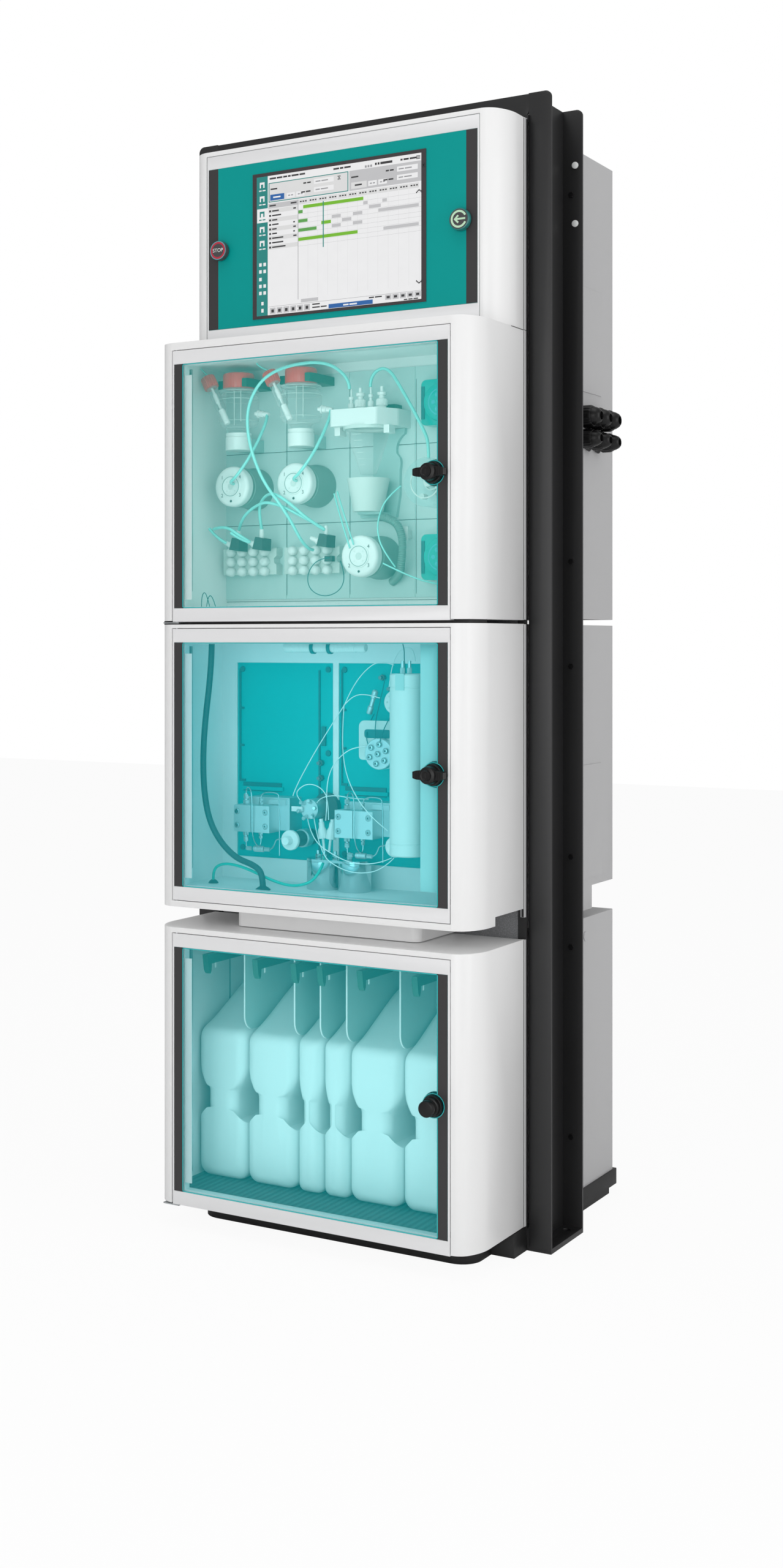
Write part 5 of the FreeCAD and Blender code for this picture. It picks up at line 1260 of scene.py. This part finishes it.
# %% [markdown]
# ## Chromatography space
# Two teal modules carry everything: pump heads of split steel, purge knobs, valves with a ring of ports, and
# pulse dampers of polished steel on the floor. The fittings are hexagons, so they are turned with six sides.
# %% Module details
SHEET, FLOOR = -104.5, 552
MODULES = (-235.0, -36.0)
detail = Work(module_dark)
for x0 in MODULES:
    for a, b, c, d in ((4, 7, 720, 906), (7, 13, 838, 842), (7, 13, 775, 779), (4, 16, 716, 720),
                       (12, 88, 708, 715), (12, 88, 700, 702), (160, 163, 596, 905)):
        detail.box(x0 + a, x0 + b, SHEET - 2.2, SHEET + 0.2, c, d, 0.5)
    detail.box(x0 + 166, x0 + 174, SHEET - 3, SHEET + 0.2, 780, 812, 1)
    for a, c in ((10, 906), (178, 906), (178, 768), (10, 604), (178, 604)):
        detail.turn([(0, 0), (4.6, 0), (5, 0.6), (5, 2.4)], (x0 + a, SHEET - 2.2, c), INWARD, 24)
detail.use(module_teal)
for x0 in MODULES:
    detail.box(x0 + 10, x0 + 92, SHEET - 4, SHEET + 0.2, 702, 708, 1.2)
    detail.box(x0 + 3, x0 + 186, SHEET - 0.8, SHEET + 0.2, 592, 594, 0.3)
detail.make("module_details", "module_teal")

# %% Pumps
PUMPS = (-196.5, -3.5)
KNOB_X, KNOB_Z = 107.5, 629.0
head_back = SHEET - 38.5
head_front = head_back - 33.5
mid = head_front + 16.5
z0, z1 = 638.5, 682.5
blocks = Work(steel)
for x in PUMPS:
    split = x + 33.2
    blocks.use(steel).box(x, split - 0.5, head_front, head_back, z0, z1, 1.2)
    blocks.box(split + 0.5, x + 69.2, head_front, head_back, z0, z1, 1.2)
    blocks.box(x + 8, x + 88, head_back, SHEET, z0 + 2, z1 + 11.8, 1.5)
    blocks.box(x + 50, x + 84, head_back - 6, head_back, z1 + 1, z1 + 9, 1)
    for dx in (6.5, 61.2):
        for dz in (10.5, 33.5):
            spot = (x + dx, head_front, z0 + dz)
            blocks.use(steel_dark).turn(band(4.4, 5, -0.1, 0.4), spot, INWARD, 28)
            blocks.use(steel_bright)
            blocks.turn([(0, -1.9), (3.2, -1.9), (3.9, -1.2), (3.9, 0.4)], spot, INWARD, 28)
            # Painted shade: a dark hexagon on each screw head stands for its socket.
            blocks.use(dark_detail).hexagon((spot[0], spot[1] - 2.0, spot[2]), INWARD, 1.9, 0, 0.5)
    for dx, up, down, r in ((14, 18, 18, 5.4), (43, 12, 12, 4.0)):
        blocks.use(steel_bright)
        for z, way, reach in ((z1, 1, up), (z0, -1, down)):
            blocks.hexagon((x + dx, mid, z), (0, 0, way), r, 0, reach * 0.42)
            blocks.turn(rod(r * 0.6, 0, reach), (x + dx, mid, z), (0, 0, way), 20)
            blocks.hexagon((x + dx, mid, z), (0, 0, way), r * 0.84, reach * 0.5, reach * 0.94)
    knob = (x + KNOB_X, 0, KNOB_Z)
    filter_seat = (x + 29, mid - 2, 610)
    blocks.use(dark_detail)
    blocks.turn([(4.2, -164), (12.6, -164), (13, -163), (13, SHEET), (0, SHEET), (0, -150), (4.2, -150),
                 (4.2, -164)], knob, INWARD, 40)
    blocks.use(steel).turn([(13, -140), (15, -138), (15, -122), (13, -120)], knob, INWARD, 40)
    blocks.hexagon((x + 24, mid - 2, 610), RIGHT, 3.6, -8, 2)
    blocks.turn([(0, 2), (4.2, 2), (5, 3), (5, 20), (4.2, 21), (0, 21)], filter_seat, RIGHT, 28)
    blocks.turn([(5, 6), (5.3, 6.4), (5.3, 7.4), (5, 7.8)], filter_seat, RIGHT, 28)
    blocks.hexagon((x + 52, mid - 2, 610), RIGHT, 3.6, -1, 9)
blocks.make("pump_heads", "machined_steel", ("pump_blocks",))

for name, x in zip(("left_purge_knob", "right_purge_knob"), PUMPS):
    face, back = limits(name)[2:4]
    knob = Work(polymer_white)
    knob.turn([(0, 0.3), (5.8, 0.3), (6.4, 0), (7, 0.8), (7, 12.6), (8, 13.2), (15.4, 13.4), (16.3, 14.2),
               (16.5, 15), (16.5, 18.9), (15.6, 19.5), (4, 19.5), (4, back - face), (0, back - face)],
              (x + KNOB_X, face, KNOB_Z), INWARD, 96, 24, -0.012)
    knob.make(name + "_grip", "machined_steel", (name,), name)

# %% Dampers, filters and valves
STEEL_Y = SHEET - 52
dampers = Work(steel_bright)
DAMPERS = (-36.0, 22.0)
for x in DAMPERS:
    dampers.turn([(0, 0), (26.4, 0), (27, 0.8), (27, 45.6), (0, 45.6)], (x, STEEL_Y, FLOOR), UP, 96)
lid = arc(DAMPERS[0], STEEL_Y, 27, 90, 270, 24) + arc(DAMPERS[1], STEEL_Y, 27, -90, 90, 24)
dampers.slab(lid, "z", 598, 602, 0.8)
for x in (-46, -34, -14, 13):
    dampers.hexagon((x, STEEL_Y, 602), UP, 4.6, 0, 6)
    dampers.turn(rod(2.6, 6, 12), (x, STEEL_Y, 602), UP, 20)
dampers.use(polymer_white)
for x, z, lean in ((-38, 633, -0.12), (-24, 633, 0.12)):
    dampers.turn([(0, 0), (7.6, 0), (8, 1), (7.2, 14), (5, 18), (4.4, 26), (3.2, 27), (3.2, 32), (0, 32)],
                 (x, STEEL_Y + 2, z), (lean, 0, 1), 40, 12, -0.06)
    dampers.turn(rod(2.2, -20, 0), (x, STEEL_Y + 2, z), (lean, 0, 1), 16)
dampers.make("pulse_dampers", "machined_steel", ("dampers",))

valve = Work(polymer_pale)
VX, VZ = 71.0, 774.0
nose = SHEET - 62
plate_line = (arc(VX - 38, VZ - 5, 6, 180, 270, 4) + arc(VX + 18, VZ - 5, 6, -90, 0, 4)
              + arc(VX + 16, VZ + 44, 8, 0, 90, 5) + arc(VX - 34, VZ + 42, 10, 90, 180, 6))
valve.slab(plate_line, "y", nose + 15, nose + 19, 1.2)
valve.use(module_dark)
valve.slab(soft_outline(VX - 34, VX + 14, VZ + 24, VZ + 38, 5), "y", nose + 14.8, nose + 15.2)
valve.use(steel)
valve.turn([(0, 0), (24, 0), (25, 1), (25, 12), (23, 13), (23, 18), (25, 19), (25, 62), (0, 62)],
           (VX, nose, VZ), INWARD, 64)
for a, b in [*arc(VX, VZ, 15.5, 20, 320, 5), (VX, VZ)]:
    spot = (a, nose, b)
    valve.use(steel_bright)
    valve.turn([(0, -6), (2.4, -6), (4, -5.4), (5, -4), (5, 0), (0, 0)], spot, INWARD, 24)
    # Painted shade: a dark disc on each port stands for its bore.
    valve.use(dark_detail).turn([(0, -6.2), (1.6, -6.2), (1.6, -5.8)], spot, INWARD, 16)
valve.use(polymer_white)
valve.turn([(0, 0), (17, 0), (19, 1.4), (19, 37)], (VX + 15, SHEET - 37, VZ + 81.5), INWARD, 48)
valve.use(polymer_pale)
for a, b in arc(VX + 15, VZ + 81.5, 13, 0, 315, 7):
    valve.turn([(0, -0.6), (1.5, -0.6), (1.5, 0.2)], (a, SHEET - 37, b), INWARD, 16)
valve.turn(band(7, 8.4, -0.6, 0.2), (VX + 15, SHEET - 37, VZ + 81.5), INWARD, 40)
SX, SZ = -64.0, 680.5
valve.use(steel_dark)
for x, z in ((VX - 24, VZ + 120), (VX, VZ + 121), (VX - 9, VZ + 102), (SX - 5, SZ + 46.5),
             (SX - 5, SZ + 71.5)):
    valve.hexagon((x, SHEET, z), OUTWARD, 5, 0, 8)
    valve.turn(rod(3, 8, 14), (x, SHEET, z), OUTWARD, 20)
valve.use(steel)
valve.turn([(0, 0), (4.4, 0), (5, 1), (5, 12), (3.6, 13), (3.6, 26), (5, 27), (5, 38), (3, 40), (0, 40)],
           (VX - 36, -132, VZ + 62), (0.3, 0, 0.95), 24)
valve.use(dark_detail)
valve.turn([(0, 0), (22, 0), (23, 1), (23, 12), (0, 12)], (SX + 8, SHEET - 12, SZ), INWARD, 48)
valve.use(steel)
valve.turn([(0, 0), (15, 0), (16.5, 1.2), (16.5, 33), (0, 33)], (SX - 4, SHEET - 45, SZ - 2), INWARD, 48)
for a, b in arc(0, 0, 1, 12, 312, 5):
    valve.hexagon((SX - 4 + 12 * a, SHEET - 45, SZ - 2 + 12 * b), (0.35 * a, -1, 0.35 * b), 3.4, 0, 11)
valve.use(polymer_white).box(SX - 34, SX - 14, SHEET - 50, SHEET - 46, SZ - 6, SZ + 2, 0.6)
valve.make("valves", "machined_steel", ("rotary_valves",))

# %% Column chamber and cartridge
oven = Work(polymer_pale)
ox, oy = 153.0, limits("column_oven")[2] + 28
oven.turn([(0, 0), (26, 0), (28, 2), (28, 18), (27.4, 18.6), (27.4, 19.6), (28, 20.2), (28, 258),
           (27.4, 258.6), (27.4, 259.6), (28, 260.2), (28, 278), (26, 280), (0, 280)], (ox, oy, 623), UP, 96)
for z in (663, 843):
    oven.box(ox - 10, ox + 10, oy + 20, SHEET, z, z + 20, 1)
oven.use(divider_skin).box(ox - 7, ox + 8, oy - 28.3, oy - 20, 878, 903.4, 0.8)
oven.use(steel)
for dx in (-6, 6):
    oven.hexagon((ox + dx, oy - 6, 903), UP, 4, 0, 9)
    oven.turn(rod(2.6, 9, 20), (ox + dx, oy - 6, 903), UP, 20)
oven.use(divider_skin).box(189.1, 264.9, -250, -246, 574, 955, 0.6)
oven.make("column_chamber", "oven_white", ("column_oven",))

cartridge = Work(polymer_white)
IC_CEILING = 961
cy, cz = SHEET - 109, IC_CEILING - 18
cartridge.turn([(0, -74.5), (6, -74.5), (7.8, -72), (7.8, -60), (6.8, -59), (6.8, -57), (7.8, -56),
                (7.8, 56), (6.8, 57), (6.8, 59), (7.8, 60), (7.8, 72), (6, 74.5), (0, 74.5)], (0, cy, cz),
               RIGHT, 64)
for x in range(-52, 54, 4):
    cartridge.turn([(7.7, x - 0.5), (8.1, x), (7.7, x + 0.5)], (0, cy, cz), RIGHT, 40)
cartridge.use(module_dark)
for x in (-21.0, 10.0):
    cartridge.turn([(8.1, x - 3), (10.2, x - 2.6), (10.2, x + 2.6), (8.1, x + 3), (8.1, x - 3)], (0, cy, cz),
                   RIGHT, 40)
    cartridge.box(x - 3, x + 3, cy - 2, cy + 2, cz + 9, IC_CEILING, 0.4)
cartridge.make("packed_cartridge", "oven_white", ("trap_cartridge",))

# %% Hoses and capillaries of the chromatography space
pipe("waste_hose", [[(-210, -221.5, 961), (-210, -221.5, 915), (-227, -221.5, 797), (-227, -221.5, 709),
                     (-212, -221.5, 647), (-170, -221.5, 602), (-123, -221.5, 590), (-111, -221.5, 574),
                     (-111, -221.5, 552)]], 5.0, hose_dark, ("drain_hose",), 4)
pipe("green_hose", [[(-228, -190, 553), (-226, -196, 575), (-199, -205, 589), (-155, -212, 586),
                     (-95, -214, 566), (-58, -214, 560), (-28, -206, 568), (-20, -190, 590),
                     (-26, -172, 600), (-34, -156.5, 606)]], 2.4, hose_green)
grommet = Work(hose_dark)
grommet.turn([(0, 0), (8, 0), (8.6, 1), (6, 4), (3.4, 6), (0, 6)], (-228, -190, FLOOR), UP, 32)
grommet.turn([(0, 0), (12, 0), (12.6, 1), (9, 4), (6, 6), (0, 6)], (-111, -221.5, FLOOR), UP, 32)
grommet.make("hose_grommets", "hose_dark")
PUMP_RUNS = (
    ((14, -160, 700.5), (14, -160, 710.5), (36, -181, 712.5), (39, -181, 690.5), (38, -181, 628.5),
     (43, -160, 608.5), (43, -160, 626.5)),
    ((43, -160, 694.5), (43, -160, 703.5), (76, -161, 704.5), (79, -160, 694.5), (79, -160, 601)),
    ((14, -160, 620), (14, -160, 612), (18, -162, 610), (24, -162, 610)),
    ((60, -162, 610), (66, -162, 612), (71, -162, 620), (74, -162, 629), (91, -162, 629)),
)
steel_runs = [[(x + dx, y, z) for dx, y, z in run] for x in PUMPS for run in PUMP_RUNS]
pipe("steel_capillaries", steel_runs, 1.1, steel_bright, ("capillaries",), 2)
pipe("clear_capillaries", [
    [(147, -186, 922), (142, -180, 940), (120, -165, 944), (101, -160, 936), (84, -150, 905),
     (76, -140, 880)],
    [(159, -186, 922), (161, -182, 948), (158, -176, 958)],
    [(-6, -140, 850), (6, -142, 873), (32, -146, 904), (66, -152, 924), (90, -150, 915)],
    [(-7, -140, 850), (-5, -150, 801), (4, -160, 754), (30, -180, 716), (66, -186, 676), (96, -182, 655)],
    [(-6, -140, 850), (-40, -148, 798), (-70, -150, 751), (-90, -156, 712), (-92, -160, 700)],
    [(50, -150, 786), (27, -160, 784), (6, -162, 774), (-11, -170, 754), (-16, -180, 727), (-15, -182, 682),
     (-24, -170, 664)],
    [(-78, -150, 688), (-90, -160, 702), (-70, -165, 719), (-50, -166, 722), (-31, -165, 713),
     (-24, -162, 696), (-26, -157, 664)],
    [(-70, -150, 664), (-40, -188, 634), (10, -198, 611), (47, -200, 601), (88, -192, 604), (100, -176, 612)],
    [(-58, -150, 666), (-21, -194, 612), (22, -203, 592), (59, -205, 587), (92, -192, 594), (104, -176, 612)],
    [(-6, -140, 850), (10, -142, 866), (40, -144, 868), (60, -142, 862)],
    [(-52, -150, 690), (-40, -160, 700), (-10, -160, 705), (20, -158, 700), (44, -150, 700)],
], 0.8, hose_white, (), 2)
pipe("dark_capillaries", [
    [(44, -132, 836), (40, -150, 812), (46, -160, 790), (56, -165, 780)],
    [(70, -142, 895), (66, -150, 860), (60, -160, 820), (64, -165, 790)],
    [(86, -150, 836), (78, -165, 815), (74, -168, 792)],
    [(120, -180, 955), (128, -186, 940), (124, -180, 925), (122, -170, 900)],
], 0.8, module_dark, (), 2)

# %% [markdown]
# ## Reagent space
# The canisters are blow-moulded: every edge is rounded, a waist on each side makes room for a finger, and the
# top slopes up to the neck at the back. A box with bevels can't follow that. Here one outline is carried from
# front to back; its top follows the slope, and near both ends it shrinks along a quarter circle, so the
# corners come out round in every direction.
# %% Canisters
EDGES = (-265.0, -168.75, -72.5, -24.0, 24.5, 120.75, 217.0)
LOW = 62.0
FRONT, BACK = -186.5, 43.5
SHOULDER, RISE, CORNER = 250, 70, 18.0
WAIST = ((0, 95), (0.1, 97), (0.85, 100), (1, 105), (1, 122), (1, 141), (0.92, 146), (0.62, 156), (0.3, 167),
         (0.08, 177), (0, 188))


def waist_outline(x0, x1, top):
    """Front outline at one depth; top is the height there."""
    wide = x1 - x0
    depth = min(30.0, wide / 5)
    r = min(CORNER, wide / 4)
    right = arc(x1 - r, LOW + r, r, -90, 0, 6)
    right += [(x1 - depth * share, LOW + z) for share, z in WAIST]
    right += [(x1, top - r - 10)] + arc(x1 - r, top - r, r, 0, 90, 6)
    left = [(x0 + x1 - a, b) for a, b in right[::-1]]
    return right + left


def drawn_in(value, middle, inset):
    """A coordinate moved towards the middle by the inset, but never past a fifth of its way."""
    reach = abs(value - middle)
    return middle + (value - middle) * (max(0.2, (reach - inset) / reach) if reach > 0.01 else 1)


quarter = [math.radians(15 * k) for k in range(7)]
sections = [(FRONT + CORNER * (1 - math.cos(t)), CORNER * (1 - math.sin(t))) for t in quarter]
sections += [(FRONT + 40 + k * 12, 0.0) for k in range(13)]
sections += [(BACK - CORNER * (1 - math.cos(t)), CORNER * (1 - math.sin(t))) for t in quarter[::-1]]
cans = Work(canister_skin)
for left, right in zip(EDGES, EDGES[1:]):
    x0, x1 = left + 1.4, right - 1.4
    cx, cz = (x0 + x1) / 2, LOW + 150
    rings = []
    for y, inset in sections:
        rise = min(1.0, max(0.0, (y - FRONT - 14) / 156.0))
        smooth = rise * rise * (3 - 2 * rise) * 0.35 + rise * 0.65
        line = waist_outline(x0, x1, LOW + SHOULDER + RISE * smooth)
        rings.append([cans.mesh.verts.new((drawn_in(a, cx, inset), y, drawn_in(b, cz, inset)))
                      for a, b in line])
    n = len(rings[0])
    faces = [cans.mesh.faces.new((a[k], b[k], b[(k + 1) % n], a[(k + 1) % n]))
             for a, b in zip(rings, rings[1:]) for k in range(n)]
    faces += [cans.mesh.faces.new(rings[0]), cans.mesh.faces.new(rings[-1][::-1])]
    cans.keep(faces)
cans.make("reagent_canisters", "canister_plastic", ("canisters",))

# %% [markdown]
# The dividers hang from the ceiling, and their cut front edge shows light. A dark hook over each canister
# keeps its hose, and small white clips hold the dividers.
# %% Dividers, hooks and clips
bars = Work(divider_skin)
CEILING, HANG, ROUND = 466.5, 154.5, 25
bend = (FRONT + ROUND, CEILING - HANG + ROUND)
for x in EDGES[1:-1]:
    bars.use(divider_skin)
    bars.slab([*arc(*bend, ROUND, 180, 270, 8), (50, CEILING - HANG), (50, CEILING), (FRONT, CEILING)], "x",
              x - 1, x + 1, 0.3)
    # Painted highlight: the lit cut front edge of each divider is drawn as a white strip.
    bars.use(polymer_white)
    bars.slab([(FRONT - 0.4, CEILING), (FRONT + 1.2, CEILING), (FRONT + 1.2, CEILING - 130),
               *arc(*bend, ROUND - 1, 180, 250, 6), *arc(*bend, ROUND + 0.4, 250, 180, 6)], "x",
              x - 1.2, x + 1.2)
    bars.box(x - 7, x + 7, FRONT - 6, FRONT + 6, CEILING - 9, CEILING, 2.5)
    bars.box(x - 3, x + 3, FRONT - 4, FRONT + 4, CEILING - 17, CEILING - 8, 2)
for left, right in zip(EDGES, EDGES[1:]):
    x = (left + right) / 2
    bars.use(holder_dark)
    y, z = FRONT - 45, CEILING
    bars.slab([(y, z - 26.5), (y + 4, z - 52), (y + 9, z - 58.5), (y + 12, z - 54), (y + 13, z - 42.5),
               (y + 102, z - 42.5), (y + 102, z), (y + 90, z), (y + 90, z - 26.5)], "x", x - 5, x + 5, 1.5)
    bars.use(polymer_white).box(x - 11, x - 3, y + 60, y + 68, z - 8, z, 2)
    bars.box(x + 3, x + 11, y + 60, y + 68, z - 8, z, 2)
    bars.box(x - 0.8, x + 0.8, y + 30, y + 33, z - 52, z - 26, 0.4)
bars.make("dividers_and_hooks", "divider_white", ("canister_dividers",))

# %% [markdown]
# ## Cable glands
# Each gland is a nut, a body and a domed cap with flutes for the fingers. All six go into one mesh.
# %% Cable glands
face = limits("cable_glands")[0]
glands = Work(moulded_black)
for z, r in ((1326.0, 19.5), (1289.0, 17.0)):
    for i in range(3):
        spot = (face, 130.5 + i * 41, z)
        glands.hexagon(spot, RIGHT, r, 0, 8)
        glands.turn([(0, 8), (r * 0.8, 8), (r * 0.8, 12), (r * 0.94, 13), (r * 0.94, 27), (r * 0.86, 31),
                     (r * 0.8, 31.4)], spot, RIGHT, 72, 18, -0.05)
        glands.turn([(r * 0.8, 31.4), (r * 0.72, 37), (r * 0.58, 42), (r * 0.44, 44.4), (r * 0.36, 45),
                     (r * 0.34, 38), (0, 38)], spot, RIGHT, 48)
glands.make("gland_set", "gland_black", ("cable_glands",))
